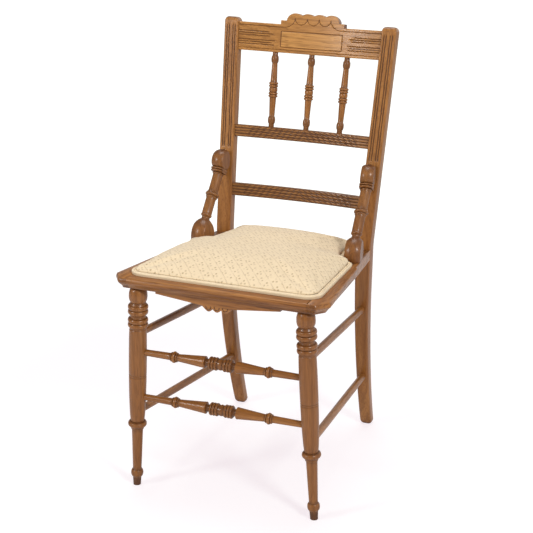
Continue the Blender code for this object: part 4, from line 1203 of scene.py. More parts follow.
@dataclass
class BackPosts(SubAssembly):
    """Bent back posts, reeded on the front of their upper ends."""

    foot_width: float = 0.0245
    foot_depth: float = 0.023
    foot_ease: float = 0.0060
    foot_round: float = 0.009
    foot_inset: float = 0.0058
    foot_patina: float = 0.6
    crown: float = 0.010
    crown_inset: float = 0.0070
    bend: float = 0.012
    reed_pitch: float = 0.0044
    reed_gap: float = 0.0084
    reed_r: float = 0.0013
    reed_depth: float = 0.0012
    reed_start: float = 0.1640
    reed_run_out: float = 0.005
    reed_clear: float = 0.013
    face_points: int = 65
    corner_steps: int = 5
    upper_tone: float = 0.30

    def section(self, width: float, depth: float, ease: float) -> Array:
        """Rectangle with rounded corners as rows of (across, deep), from the front's left end round.

        Args:
            width: Across the post.
            depth: From front to back.
            ease: Radius of the corners.

        Returns:
            The points, the front face's first.
        """
        radius = min(ease, 0.3 * width, 0.3 * depth)
        half_x = width / 2 - radius
        half_y = depth / 2 - radius
        points = [(x, -depth / 2) for x in np.linspace(-half_x, half_x, self.face_points)]
        for quarter, (side, way) in enumerate(((1, -1), (1, 1), (-1, 1), (-1, -1))):
            swings = np.linspace(quarter - 1, quarter, self.corner_steps) * QUARTER
            points += [(side * half_x + radius * math.cos(swing), way * half_y + radius * math.sin(swing))
                       for swing in swings]
        del points[self.face_points]
        return np.array(points[:-1])

    def reeding(self, across: Array, up: float) -> Array:
        """Depth of the reeds' grooves across the face.

        Args:
            across: Places across the face.
            up: Height in the back frame.

        Returns:
            The depth.
        """
        room = min(up - self.reed_start, self.layout.back_height - self.reed_clear - up)
        share = min(room / self.reed_run_out, 1.0)
        cut = np.zeros_like(across)
        if share <= 0:
            return cut
        for offset in (self.reed_gap / 2, self.reed_gap / 2 + self.reed_pitch):
            miss = np.minimum(np.abs(np.abs(across) - offset), self.reed_r)
            round_cut = np.sqrt(self.reed_r ** 2 - miss ** 2) - (self.reed_r - self.reed_depth * share)
            cut = np.maximum(cut, round_cut)
        return np.clip(cut, 0, None)

    def build(self) -> None:
        """Wrap the right post from foot to crown and copy it."""
        sections = []
        patina = []
        tone = []
        for row in self.lower_rows() + self.bend_rows() + self.upper_rows():
            across, deep = self.section(row.width, row.depth, row.ease).T
            cut = np.zeros_like(across)
            cut[:self.face_points] = self.reeding(across[:self.face_points], row.up)
            deeper = deep + row.depth / 2 + cut
            sections.append(np.array(row.front) + np.outer(across, (1, 0, 0)) + np.outer(deeper, row.way))
            # The foot is darkened for dirt, the reeds' grooves for dirt and painted shade.
            soiled = self.foot_patina * max(0.0, 1 - row.front.z / (2 * self.foot_round))
            patina.append(np.maximum((cut / self.reed_depth) ** 1.6, soiled))
            tone.append(np.full_like(across, self.upper_tone * np.clip(row.up / self.reed_start, 0, 1)))
        post = wrap("back_post_right", np.array(sections), patina=np.array(patina),
                    tone=np.array(tone))
        self.keep_pair(post, Grain.UPRIGHT)

    def lower_rows(self) -> list[PostRow]:
        """Sections of the swept lower leg.

        Returns:
            The sections, from the foot upwards.
        """
        layout = self.layout
        top = layout.upright_from()
        heights = [*eased(self.foot_round, 7), *np.linspace(self.foot_round, top, 40)[1:]]
        rows = []
        for height in heights:
            share = height / top
            sunk = max(0.0, 1 - height / self.foot_round)
            worn = 2 * self.foot_inset * (1 - math.sqrt(1 - sunk ** 2))
            width = self.foot_width + (layout.post_width - self.foot_width) * share - worn
            depth = self.foot_depth + (layout.post_depth - self.foot_depth) * share - worn
            ease = self.foot_ease + (layout.post_ease - self.foot_ease) * share
            slope = -2 * layout.post_sweep * max(0.0, 1 - share) / top
            square = min(1.0, max(0.0, (height - self.foot_round) / (2 * self.foot_round)))
            way = Vector((0, 1, -slope * square)).normalized()
            rows.append(PostRow(layout.post_axis(height) - way * depth / 2, way, width, depth, ease, 0.0))
        return rows

    def bend_rows(self) -> list[PostRow]:
        """Sections of the upright stretch at the seat and of the eased bend above it.

        Returns:
            The sections, from below upwards.
        """
        layout = self.layout
        back = layout.back()
        low = layout.post_axis(layout.bend_height() - self.bend)
        start = Vector((low.x, layout.post_front(), low.z))
        corner = back @ Vector((layout.back_spread(0) / 2, 0, 0))
        end = back @ Vector((layout.back_spread(self.bend) / 2, 0, self.bend))
        rows = []
        for share in np.linspace(0, 1, 9):
            point = start * (1 - share) ** 2 + corner * 2 * share * (1 - share) + end * share ** 2
            ahead = (corner - start) * (1 - share) + (end - corner) * share
            way = Vector((0, ahead.z, -ahead.y)).normalized()
            rows.append(PostRow(point, way, layout.post_width, layout.post_depth, layout.post_ease, 0.0))
        return rows

    def upper_rows(self) -> list[PostRow]:
        """Sections of the leaning upper post, close together where the reeds start and at the crown.

        Returns:
            The sections, from below upwards.
        """
        layout = self.layout
        back = layout.back()
        way = back.to_3x3() @ Vector((0, 1, 0))
        top = layout.back_height
        ups = np.r_[np.linspace(self.bend, self.reed_start - 0.002, 14)[1:],
                    np.linspace(self.reed_start, self.reed_start + self.reed_run_out, 7),
                    np.linspace(self.reed_start + 0.012, top - 0.024, 14),
                    np.linspace(top - 0.022, top - self.crown, 11),
                    top - self.crown * (1 - np.sin(np.linspace(0, QUARTER, 11)[1:]))]
        rows = []
        for up in ups:
            risen = max(0.0, 1 - (top - up) / self.crown)
            worn = self.crown_inset * (1 - math.sqrt(max(0.0, 1 - risen ** 2)))
            front = back @ Vector((layout.back_spread(up) / 2, worn, up))
            rows.append(PostRow(front, way, layout.post_width - 2 * worn, layout.post_depth - 2 * worn,
                                layout.post_ease, up))
        return rows


# Back: pressed rails, crest and spindles


@dataclass
class PressedRails(SubAssembly):
    """Bowed cross rails with pressed reeds, twisted like ropes between their ends."""

    lower_height: float = 0.0676
    lower_width: float = 0.0262
    ease: float = 0.0022
    column: float = 0.0008
    row: float = 0.0005
    rope_span: float = 0.118
    rope_fade: float = 0.003
    rope_low: float = 0.04
    rope_high: float = 0.96
    rope_rows: int = 4
    rope_pitch: float = 0.0118
    rope_twist: float = 0.75
    rope_depth: float = 0.0012
    edge_fade: float = 0.0008
    # Stains of the face: a dark ground, darker between the reeds' crests as painted shade, darkest in the
    # twist's cuts for dirt and painted shade, and paler crests as a painted highlight.
    face_stain_and_shade: float = 0.46
    cut_dirt_and_shade: float = 0.80
    bead_patina: float = 0.33
    bead_highlight: float = 0.40

    def rope(self, x: Array, share: Array) -> Array:
        """Rise of the twisted reeds, from 0 in the grooves between them to 1 on their crests.

        Args:
            x: Places across.
            share: Height as a share of the rail's width.

        Returns:
            The rise.
        """
        step = (self.rope_high - self.rope_low) / self.rope_rows
        row = np.clip((share - self.rope_low) / step, 0, self.rope_rows - 1e-6)
        up = 2 * (row - np.floor(row)) - 1
        ridge = np.sqrt(np.clip(1 - up ** 2, 0, None))
        beat = np.abs(x) / self.rope_pitch + up / 2 + np.floor(row) / 3
        cut = np.abs(2 * (beat - np.floor(beat)) - 1) ** 4
        twisted = np.clip((self.rope_span - np.abs(x)) / self.rope_fade, 0, 1)
        return ridge * (1 - self.rope_twist * twisted * cut)

    def rail(self, node: str, bottom: float, width: float) -> Piece:
        """Wrap one bowed rail.

        Args:
            node: The node that it stands for.
            bottom: Height of its lower edge in the back frame.
            width: Its width.

        Returns:
            The rail.
        """
        layout = self.layout
        edge = eased(self.ease)
        end = width - self.ease
        front = np.r_[edge, np.arange(self.ease + self.row, end, self.row), width - edge[::-1]]
        rear = np.r_[edge, np.linspace(self.ease, end, 6)[1:-1], width - edge[::-1]]
        high = np.r_[front, rear[::-1]]
        behind = np.arange(len(high)) >= len(front)
        ups = bottom + high
        share = high / width
        columns = int(2 * layout.rail_reach(bottom) / self.column)
        x = np.linspace(-1, 1, columns)[:, None] * layout.rail_reach(ups)
        worn = rounded_edge(np.minimum(high, width - high), self.ease)
        rope = self.rope(x, share)
        inside = np.minimum(share - self.rope_low, self.rope_high - share) * width / self.edge_fade
        cut = np.where(behind, 0.0, self.rope_depth * np.clip(inside, 0, 1) * (1 - rope))
        deep = layout.bow(x, ups) + np.where(behind, layout.cross_rail_thickness - worn, worn + cut)
        bead = np.where(behind, 0.0, rope)
        # Painted shade between the crests and in the cuts, with dirt in the cuts, and a painted highlight
        # on the crests.
        sunk = self.bead_patina + (self.face_stain_and_shade - self.bead_patina) * (1 - bead)
        sunk = sunk + self.cut_dirt_and_shade * cut / self.rope_depth
        patina = np.where(behind, 0.0, np.clip(sunk, 0, 1))
        tone = self.bead_highlight * bead
        return board(node, layout.back(), (x, deep, ups), patina=patina, tone=tone)

    def build(self) -> None:
        """Make the lower and the middle rail."""
        layout = self.layout
        places = (("lower_back_rail", self.lower_height, self.lower_width),
                  ("middle_back_rail", layout.middle_rail_height, layout.middle_rail_width))
        for node, bottom, width in places:
            self.keep_oak(self.rail(node, bottom, width), Grain.ACROSS)


@dataclass
class CrestRail(SubAssembly):
    """Bowed crest with a scalloped top, a festoon, a lined panel and reeded ends."""

    width: float = 0.057
    step: float = 0.008
    step_span: float = 0.1346
    sharp: float = 0.00005
    lobe_width: float = 0.0253
    lobe_span: float = 0.1114
    lobe_rise: float = 0.0235
    cusp: float = 0.004
    panel_length: float = 0.130
    panel_low: float = 0.0112
    panel_high: float = 0.0430
    panel_fade: float = 0.002
    low_line: float = 0.0058
    line_half: float = 0.0011
    line_depth: float = 0.0012
    line_dirt_and_shade: float = 0.9
    reed_from: float = 0.0765
    reed_starts: tuple[float, ...] = (0.001, 0.006, 0.0, 0.009, 0.003, 0.012)
    reed_fade: float = 0.0015
    reed_half: float = 0.0012
    reed_low: float = 0.0139
    reed_pitch: float = 0.0043
    reed_split: float = 0.0173
    reed_depth: float = 0.0013
    festoon_top: float = 0.0705
    festoon_low: float = 0.0510
    festoon_end: float = 0.062
    festoon_half: float = 0.0010
    level_rows: float = 0.046
    edge_round: float = 0.0020
    column: float = 0.0007
    row: float = 0.00055
    outer_columns: int = 34
    crest_tone: float = 0.55
    panel_tone: float = 0.35

    def top(self, x: Array) -> Array:
        """Height of the crest's upper outline: shoulders, a step and four lobes.

        Args:
            x: Places across.

        Returns:
            The height.
        """
        away = np.abs(x)
        step = self.width + self.step
        peak = self.width + self.lobe_rise
        last_peak = 1.5 * self.lobe_width
        wave = peak - self.cusp * (1 - np.abs(np.sin(math.pi * away / self.lobe_width)))
        fall = np.clip((away - last_peak) / (self.lobe_span / 2 - last_peak), 0, 1)
        shoulder = step + (peak - step) * np.sqrt(1 - fall ** 2)
        lobes = np.where(away <= last_peak, wave, shoulder)
        return np.where(away >= self.step_span / 2, self.width, lobes)

    def relief(self, x: Array, high: Array) -> Array:
        """Depth of the pressing on the face: reeds, panel line and festoon.

        Args:
            x: Places across.
            high: Heights above the lower edge.

        Returns:
            The depth.
        """
        away = np.abs(x)
        cut = np.zeros_like(x)
        for k, late in enumerate(self.reed_starts):
            fade = np.clip((away - self.reed_from - late) / self.reed_fade, 0, 1)
            height = self.reed_low + (k // 3) * self.reed_split + (k % 3) * self.reed_pitch
            cut = np.maximum(cut, fade * groove(np.abs(high - height), self.reed_half, self.reed_depth))
        out_x = away - self.panel_length / 2
        out_z = np.maximum(self.panel_low - high, high - self.panel_high)
        outside = np.hypot(np.maximum(out_x, 0), np.maximum(out_z, 0))
        edge = np.abs(outside + np.minimum(np.maximum(out_x, out_z), 0))
        cut = np.maximum(cut, groove(edge, self.line_half, self.line_depth))
        cut = np.maximum(cut, groove(np.abs(high - self.low_line), self.line_half, 0.9 * self.line_depth))
        return np.maximum(cut, groove(self.festoon(away, high), self.festoon_half, self.line_depth))

    def festoon(self, away: Array, high: Array) -> Array:
        """Distance to the festoon: three hanging swags, a sweep and a level run to the posts.

        Args:
            away: Places away from the middle.
            high: Heights above the lower edge.

        Returns:
            The distance.
        """
        radius = self.lobe_width / 2
        centre = np.where(away < radius, 0.0, self.lobe_width)
        swag = np.abs(np.hypot(away - centre, high - self.festoon_top) - radius)
        start = 3 * radius
        reach_x = self.festoon_end - start
        reach_z = self.festoon_top - self.festoon_low
        ex = (away - self.festoon_end) / reach_x
        ez = (high - self.festoon_top) / reach_z
        size = np.hypot(ex, ez) + 1e-9
        steep = np.hypot(ex / reach_x, ez / reach_z) / size + 1e-9
        sweep = np.abs(size - 1) / steep
        run = np.abs(high - self.festoon_low)
        found = np.where(away <= start, swag, np.where(away <= self.festoon_end, sweep, run))
        above = (high > self.festoon_top + 0.0004) & (away < self.festoon_end)
        return np.where(above, 1.0, found)

    def columns(self) -> Array:
        """Places across one half of the crest, with each step of the outline on a pair of columns.

        Returns:
            The places.
        """
        inner = np.arange(0, self.reed_from + 0.004, self.column)
        steps = [self.step_span / 2 - self.sharp, self.step_span / 2, self.lobe_span / 2]
        last_peak = 1.5 * self.lobe_width
        lobes = last_peak + (self.lobe_span / 2 - last_peak) * np.sin(np.linspace(0.6, QUARTER, 14))
        return np.unique(np.r_[inner, steps, lobes])

    def build(self) -> None:
        """Wrap the crest. Its outer columns lean with the posts."""
        layout = self.layout
        bottom = layout.crest_height()
        half = self.columns()
        near = np.r_[-half[:0:-1], half]
        outer = np.linspace(0, 1, self.outer_columns)[1:]
        ends = np.full_like(outer, half[-1])
        start = np.r_[-ends, near, ends][:, None]
        lean = np.r_[-outer[::-1], 0 * near, outer][:, None]

        def across(high: Array) -> Array:
            """Places across at heights above the lower edge."""
            return start + lean * (layout.rail_reach(bottom + high) - half[-1])

        top = self.top(across(self.width))
        soft = top - self.edge_round
        edge = eased(self.edge_round)
        low = np.r_[edge, np.arange(self.edge_round + 0.0005, self.level_rows, self.row)]
        climb = self.level_rows + np.linspace(0, 1, 44)[1:] * (soft - self.level_rows)
        plain = self.edge_round + np.linspace(0, 1, 12)[1:-1] * (soft - self.edge_round)
        high = np.hstack([low + 0 * top, climb, top - edge[::-1]])
        rear_high = np.hstack([edge + 0 * top, plain, top - edge[::-1]])[:, ::-1]
        x = across(high)
        rear_x = across(rear_high)
        cut = self.relief(x, high)
        worn = rounded_edge(np.minimum(high, top - high), self.edge_round)
        rear_worn = rounded_edge(np.minimum(rear_high, top - rear_high), self.edge_round)
        face = layout.bow(x, bottom) + worn + cut
        rear = layout.bow(rear_x, bottom) + layout.crest_thickness - rear_worn
        field_x = np.clip((self.panel_length / 2 - np.abs(x)) / self.panel_fade, 0, 1)
        field_z = np.minimum(high - self.panel_low, self.panel_high - high) / self.panel_fade
        tone = self.crest_tone + self.panel_tone * field_x * np.clip(field_z, 0, 1)
        # The pressed lines are darkened for dirt and painted shade.
        patina = self.line_dirt_and_shade * np.clip(cut / self.line_depth, 0, 1) ** 2.5
        places = (np.hstack([x, rear_x]), np.hstack([face, rear]), bottom + np.hstack([high, rear_high]))
        crest = board("crest_rail", layout.back(), places, patina=np.hstack([patina, 0 * rear]),
                      tone=np.hstack([tone, 0 * rear]))
        self.keep_oak(crest, Grain.ACROSS)


@dataclass
class Spindles(SubAssembly):
    """Three turned spindles between the middle rail and the crest."""

    sides: int = 28
    low_pitch: float = 0.0737
    high_pitch: float = 0.0770
    tenon_d: float = 0.009
    tenon: float = 0.0095
    neck_d: float = 0.011
    ball_d: float = 0.0152
    shaft_d: float = 0.0138
    ring_d: float = 0.019
    bead_d: float = 0.0168
    ball: float = 0.015
    ring: float = 0.0052
    bead: float = 0.010
    neck: float = 0.0065
    end_patina: float = 0.45
    age: float = 0.20

    def spindle(self, node: str, pitch: int) -> Piece:
        """Turn one spindle and set it in the back.

        Args:
            node: The node that it stands for.
            pitch: 0 for the middle one, 1 for the right one.

        Returns:
            The spindle.
        """
        layout = self.layout
        low_up = layout.middle_rail_height + layout.middle_rail_width
        high_up = layout.crest_height()
        low_x = pitch * self.low_pitch
        high_x = pitch * self.high_pitch
        low = Vector((low_x, layout.bow(low_x, low_up) + layout.cross_rail_thickness / 2, low_up))
        high = Vector((high_x, layout.bow(high_x, high_up) + layout.crest_thickness / 2, high_up))
        length = (high - low).length
        shaft = (length - 4 * self.ring - self.bead) / 2 - self.neck - self.ball
        ring = (self.ring, self.ring_d, self.shaft_d)
        outline = TurnedOutline(self.tenon_d, -self.tenon)
        outline.draw((self.tenon, self.tenon_d), (0, self.neck_d), (self.neck, self.neck_d),
                     (self.ball, self.ball_d, self.neck_d), (shaft, self.shaft_d), ring, ring,
                     (self.bead / 2, self.bead_d, self.bead_d))
        outline.mirror()
        outline.age = self.age
        end = self.neck + self.ball
        rings = darkened(outline.rings(), -math.inf, end, self.end_patina)
        rings = darkened(rings, length - end, math.inf, self.end_patina)
        piece = turn(node, rings, self.sides)
        place(piece, layout.back() @ along(low, high))
        return piece

    def build(self) -> None:
        """Make the middle spindle and the outer pair."""
        self.keep_oak(self.spindle("back_spindle_centre", 0), Grain.UPRIGHT)
        self.keep_pair(self.spindle("back_spindle_right", 1), Grain.UPRIGHT)


@dataclass
class HipBraces(SubAssembly):
    """Turned braces from the seat to the posts, sawn flat on both sides and bent."""

    sides: int = 48
    foot_depth: float = 0.302
    foot_spread: float = 0.3216
    toe: float = 9.0
    low_flat: float = 0.0316
    high_flat: float = 0.0250
    spare: float = 0.003
    bulb_d: float = 0.050
    bulb: float = 0.044
    bulb_at: float = 0.0135
    bulb_fall: float = 0.62
    bulb_steps: int = 24
    neck_d: float = 0.0178
    neck: float = 0.011
    neck_hollow: float = 0.0014
    low_sleeve: float = 0.035
    sleeve_d: float = 0.0205
    sleeve_bead: float = 0.0018
    sleeve_lip: float = 0.0010
    ring_d: float = 0.0285
    ring: float = 0.014
    ring_shares: Triple = (0.28, 0.50, 0.22)
    low_collar_d: float = 0.0238
    collar_d: float = 0.0350
    collar: float = 0.007
    collar_ring: float = 0.0052
    collar_step: float = 0.0012
    ball_d: float = 0.040
    ball: float = 0.038
    ball_top_d: float = 0.012
    age: float = 0.37

    def bulb_diameter(self, height: float) -> float:
        """Diameter of the egg-shaped bulb, which narrows to the neck at its top.

        Args:
            height: Height above its foot.

        Returns:
            The diameter.
        """
        narrow = (self.neck_d / self.bulb_d) ** (1 / self.bulb_fall)
        reach = (self.bulb - self.bulb_at) / math.sqrt(1 - narrow)
        return self.bulb_d * (1 - ((height - self.bulb_at) / reach) ** 2) ** self.bulb_fall

    def outline(self, length: float) -> TurnedOutline:
        """Turning of a brace: bulb, sleeves, ring, collars and ball.

        Args:
            length: Along its bent axis.

        Returns:
            The outline.
        """
        fixed = self.bulb + self.neck + self.low_sleeve + self.ring + 2 * self.collar + self.ball
        steps = self.bulb_steps
        collar_d = self.low_collar_d
        sleeve_d = self.sleeve_d
        outline = TurnedOutline(self.bulb_diameter(0), -self.spare)
        outline.draw((self.spare, self.bulb_diameter(0)))
        outline.draw(*[(self.bulb / steps, self.bulb_diameter(self.bulb * k / steps))
                       for k in range(1, steps + 1)])
        low, middle, high = (share * self.ring for share in self.ring_shares)
        outline.draw((self.neck / 2, self.neck_d - self.neck_hollow, self.neck_d),
                     (self.neck / 2, sleeve_d + self.sleeve_bead, sleeve_d - self.sleeve_lip),
                     (0, sleeve_d), (self.low_sleeve, sleeve_d), (low, collar_d, sleeve_d),
                     (middle, self.ring_d, sleeve_d), (high, collar_d, sleeve_d),
                     (length - fixed, sleeve_d),
                     (2 * (self.collar - self.collar_ring), collar_d, self.neck_d),
                     (self.collar_ring, self.collar_d - self.collar_step, collar_d),
                     (self.collar_ring, self.collar_d, collar_d),
                     (self.ball, self.ball_d, self.ball_top_d, 24))
        outline.age = self.age
        return outline

    def axis(self, share: Array) -> Array:
        """Points on the right brace's bent axis, from the rail to above the ball.

        Args:
            share: Places along it, from 0 to 1.

        Returns:
            Rows of three numbers.
        """
        layout = self.layout
        up = layout.brace_ball_height
        foot = layout.seat() @ Vector((self.foot_spread / 2, self.foot_depth, layout.fit))
        ball = layout.back() @ Vector((layout.back_spread(up) / 2, -self.ball_d / 2, up))
        rise = ball + Vector((0, 0, self.ball / 2)) - foot
        ease = share * share * (3 - 2 * share)
        return np.array(foot) + np.stack([share, ease, share], axis=1) * np.array(rise)

    def build(self) -> None:
        """Turn the brace straight, saw its sides, bend it, cut it to the seat and post, and copy it."""
        layout = self.layout
        shares = np.linspace(-0.05, 1.05, 221)
        path = self.axis(shares)
        runs = np.r_[0, np.cumsum(np.linalg.norm(np.diff(path, axis=0), axis=1))]
        runs -= np.interp(0, shares, runs)
        length = float(np.interp(1, shares, runs))
        brace = turn("hip_brace_right", self.outline(length).rings(), self.sides)
        tilt = (self.low_flat - self.high_flat) / 2 / length
        for side in (-1, 1):
            saw(brace, Vector((side * self.low_flat / 2, 0, 0)), Vector((side, 0, tilt)))
        self.mark_flats(brace, tilt)
        points = points_of(brace)
        share = np.interp(points[:, 2], runs, shares)
        ahead = self.axis(share + 0.01) - self.axis(share - 0.01)
        normal = np.stack([ahead[:, 0] * 0, ahead[:, 2], -ahead[:, 1]], axis=1)
        normal /= np.linalg.norm(normal, axis=1)[:, None]
        off_axis = normal * points[:, 1, None]
        off_axis[:, 0] += points[:, 0]
        toe = Matrix.Rotation(math.radians(self.toe), 4, "Z")
        move_points(brace, self.axis(share) + carried(toe, off_axis))
        seat = layout.seat()
        saw(brace, seat @ Vector((0, 0, layout.fit)), seat.to_3x3() @ Vector((0, 0, -1)))
        back = layout.back()
        saw(brace, back @ Vector((0, -layout.fit, 0)), back.to_3x3() @ Vector((0, 1, 0)))
        with editing(brace):
            bpy.ops.mesh.normals_make_consistent(inside=False)
        self.keep_pair(brace, Grain.UPRIGHT)

    def mark_flats(self, brace: Piece, tilt: float) -> None:
        """Keep the edges of the sawn flats crisp.

        Args:
            brace: The straight brace.
            tilt: Slope of the flats.
        """
        with editing(brace):
            bpy.ops.mesh.select_mode(type="FACE")
            bpy.ops.mesh.select_all(action="DESELECT")
            mesh = bmesh.from_edit_mesh(brace.data)
            for face in mesh.faces:
                middle = face.calc_center_median()
                face.select_set(abs(abs(middle.x) - self.low_flat / 2 + tilt * middle.z) < 1e-5)
            bmesh.update_edit_mesh(brace.data)
            bpy.ops.mesh.region_to_loop()
            bpy.ops.mesh.mark_sharp()
            bpy.ops.mesh.select_mode(type="VERT")


# Seat frame


@dataclass
class SeatFrame(SubAssembly):
    """Nosed seat rails and the small lobed apron under the front one."""

    front_width: float = 0.384
    full_width: float = 0.420
    stop_width: float = 0.372
    corner_cut: float = 0.027
    edge_stop: float = 0.252
    stop_step: float = 0.0042
    square_r: float = 0.0004
    edge_radii: tuple[float, ...] = (0.006, 0.008, 0.0015, 0.0008)
    overhang: float = 0.008
    nose: float = 0.0025
    nose_drop: float = 0.007
    top_round: float = 0.0012
    # Painted shade under the nose, strongest at the rail's underside.
    under_nose_shade: float = 0.45
    apron_length: float = 0.246
    apron_thickness: float = 0.012
    apron_setback: float = 0.0105
    apron_end_drop: float = 0.0045
    apron_middle_drop: float = 0.0140
    apron_ease: float = 0.0016
    lobe_drop: float = 0.0235
    lobe_pitch: float = 0.0165
    lobe_rise: float = 0.005
    lobes: int = 3
    lobe_columns: tuple[float, float] = (0.036, 0.0006)
    arc_centre: float = 0.55
    arc_top: float = 0.62
    arc_r: float = 0.3
    arc_depth: float = 0.0010

    def levels(self) -> list[Triple]:
        """Heights up the nosed edge with the shares of the nose and of the undercut there.

        Returns:
            Rows of height, nose and undercut.
        """
        thick = self.layout.rail_thickness
        rows = [(-thick + (thick - self.nose_drop) * share, share * share * (3 - 2 * share),
                 (1 - share) ** 2 * (1 + 2 * share)) for share in np.linspace(0, 1, 10)]
        return rows + [(-self.nose_drop * (1 - share), math.cos(share * QUARTER), 0.0)
                       for share in np.linspace(0, 1, 8)[1:]]

    def side_edge(self, swell: float, under: float, rear: float) -> list[Triple]:
        """Outline of the right rail as corners with radii.

        Args:
            swell: How far the edge swells out.
            under: How far it is cut under.
            rear: Depth of its rear end.

        Returns:
            Front joint, cut corner, widest place, edge stop, step behind it, and both ends at the post.
        """
        layout = self.layout
        front = under - swell
        square = self.square_r
        cut_r, wide_r, stop_r, step_r = self.edge_radii
        return [(layout.side_rail_inner(front), front, square),
                (self.front_width / 2 + swell / 2 - under / 2, front, cut_r),
                (self.full_width / 2 + swell - under, self.corner_cut + under / 4, wide_r),
                (self.stop_width / 2 - under / 2, self.edge_stop, stop_r),
                (self.stop_width / 2 - self.stop_step, self.edge_stop + self.stop_step, step_r),
                ((layout.post_seat_spread + layout.post_width) / 2, rear, square),
                (layout.side_rail_inner(layout.seat_depth), rear, square)]

    def side_rail(self) -> Piece:
        """Wrap the right side rail, level by level, with its top edge eased.

        Returns:
            The rail.
        """
        layout = self.layout
        slope = math.atan(layout.seat_fall)
        sections = []
        patina = []
        for high, swell, under in self.levels():
            rear = layout.seat_depth / math.cos(slope) - layout.fit - high * math.tan(slope)
            outline = rounded_outline(self.side_edge(self.nose * swell, self.overhang * under, rear))
            sections.append(level(outline, high))
            # Painted shade under the nose, in front of the edge stop.
            patina.append(np.where(outline[:, 1] < self.edge_stop, self.under_nose_shade * under ** 2, 0.0))
        sections[-1:] = [level(outline, high - self.top_round / 2),
                         level(inset(outline, self.top_round), high)]
        dark = np.array([*patina, patina[-1]])
        points = carried(layout.seat(), np.array(sections))
        return wrap("side_seat_rail_right", points, patina=dark, figure=np.ones_like(dark))

    def front_rail(self) -> Piece:
        """Wrap the front rail between the side rails, with the same nosed edge.

        Returns:
            The rail.
        """
        layout = self.layout
        profile = [(self.overhang * under - self.nose * swell, high)
                   for high, swell, under in self.levels()]
        profile[-1] = (0.0, -self.top_round / 2)
        profile += [(self.top_round, 0.0), (layout.front_rail_width, 0.0),
                    (layout.front_rail_width, -layout.rail_thickness)]
        depth, high = np.array(profile).T
        # Painted shade under the nose.
        dark = np.array([self.under_nose_shade * under ** 2 for *_, under in self.levels()] + [0.0] * 3)
        x = np.linspace(-1, 1, 25)[:, None] * (layout.side_rail_inner(depth) - layout.fit)
        return board("front_seat_rail", layout.seat(), (x, depth, high), patina=dark,
                     figure=np.ones_like(x))

    def back_rail(self) -> Piece:
        """Wrap the back rail between the posts, with eased edges.

        Returns:
            The rail.
        """
        layout = self.layout
        rear = layout.back_rail_rear()
        front = rear - layout.back_rail_width
        low = -layout.rail_thickness
        ease = self.top_round
        corners = [(front, low, ease), (rear, low, ease), (rear, 0.0, ease), (front, 0.0, ease)]
        depth, high = rounded_outline(corners).T
        reach = layout.post_axis(layout.upright_from()).x - layout.post_width / 2 - layout.fit
        x = np.linspace(-reach, reach, 9)[:, None]
        return board("back_seat_rail", layout.seat(), (x, depth, high))

    def apron_drop(self, x: Array) -> Array:
        """Drop of the apron's lower edge: slopes from the ends to lobes in the middle.

        Args:
            x: Places across.

        Returns:
            The drop.
        """
        away = np.abs(x)
        end = self.lobes * self.lobe_pitch / 2
        phase = math.pi * (away / self.lobe_pitch + self.lobes / 2)
        lobe = self.lobe_drop - self.lobe_rise * (1 - np.abs(np.sin(phase)))
        slope = np.interp(away, [end, end + self.lobe_rise, self.apron_length / 2],
                          [self.lobe_drop - self.lobe_rise, self.apron_middle_drop, self.apron_end_drop])
        return np.where(away <= end, lobe, slope)

    def apron(self) -> Piece:
        """Wrap the apron, with an arc pressed into each lobe.

        Returns:
            The apron.
        """
        layout = self.layout
        pitch = self.lobe_pitch
        fine_end, fine = self.lobe_columns
        x = np.unique(np.r_[np.linspace(-self.apron_length / 2, self.apron_length / 2, 60),
                            np.arange(-fine_end, fine_end, fine)])[:, None]
        drop = self.apron_drop(x)
        down = drop * np.r_[np.linspace(0, 0.85, 26), 0.85 + 0.15 * np.sin(np.linspace(0, QUARTER, 7)[1:])]
        worn = rounded_edge(drop - down, self.apron_ease)
        spot = np.hypot(x - np.round(x / pitch) * pitch, down - (self.lobe_drop - self.arc_centre * pitch))
        pressed = (np.abs(x) < self.lobes * pitch / 2) & (down > self.lobe_drop - self.arc_top * pitch)
        arc = groove(np.abs(spot - self.arc_r * pitch), self.arc_depth, self.arc_depth)
        cut = np.where(pressed, arc, 0.0)
        deep = self.apron_setback + np.hstack([worn + cut, self.apron_thickness - worn[:, ::-1]])
        high = -layout.rail_thickness - layout.fit - np.hstack([down, down[:, ::-1]])
        # The pressed arcs are darkened for dirt and painted shade.
        patina = np.hstack([np.clip(cut / self.arc_depth, 0, 1), cut * 0])
        return board("front_apron", layout.seat(), (x, deep, high), patina=patina,
                     figure=np.ones_like(patina))

    def build(self) -> None:
        """Make the rails and the apron."""
        self.keep_oak(self.front_rail(), Grain.ACROSS)
        self.keep_oak(self.back_rail(), Grain.ACROSS)
        self.keep_oak(self.apron(), Grain.ACROSS)
        self.keep_pair(self.side_rail(), Grain.LENGTHWISE)


# Upholstery


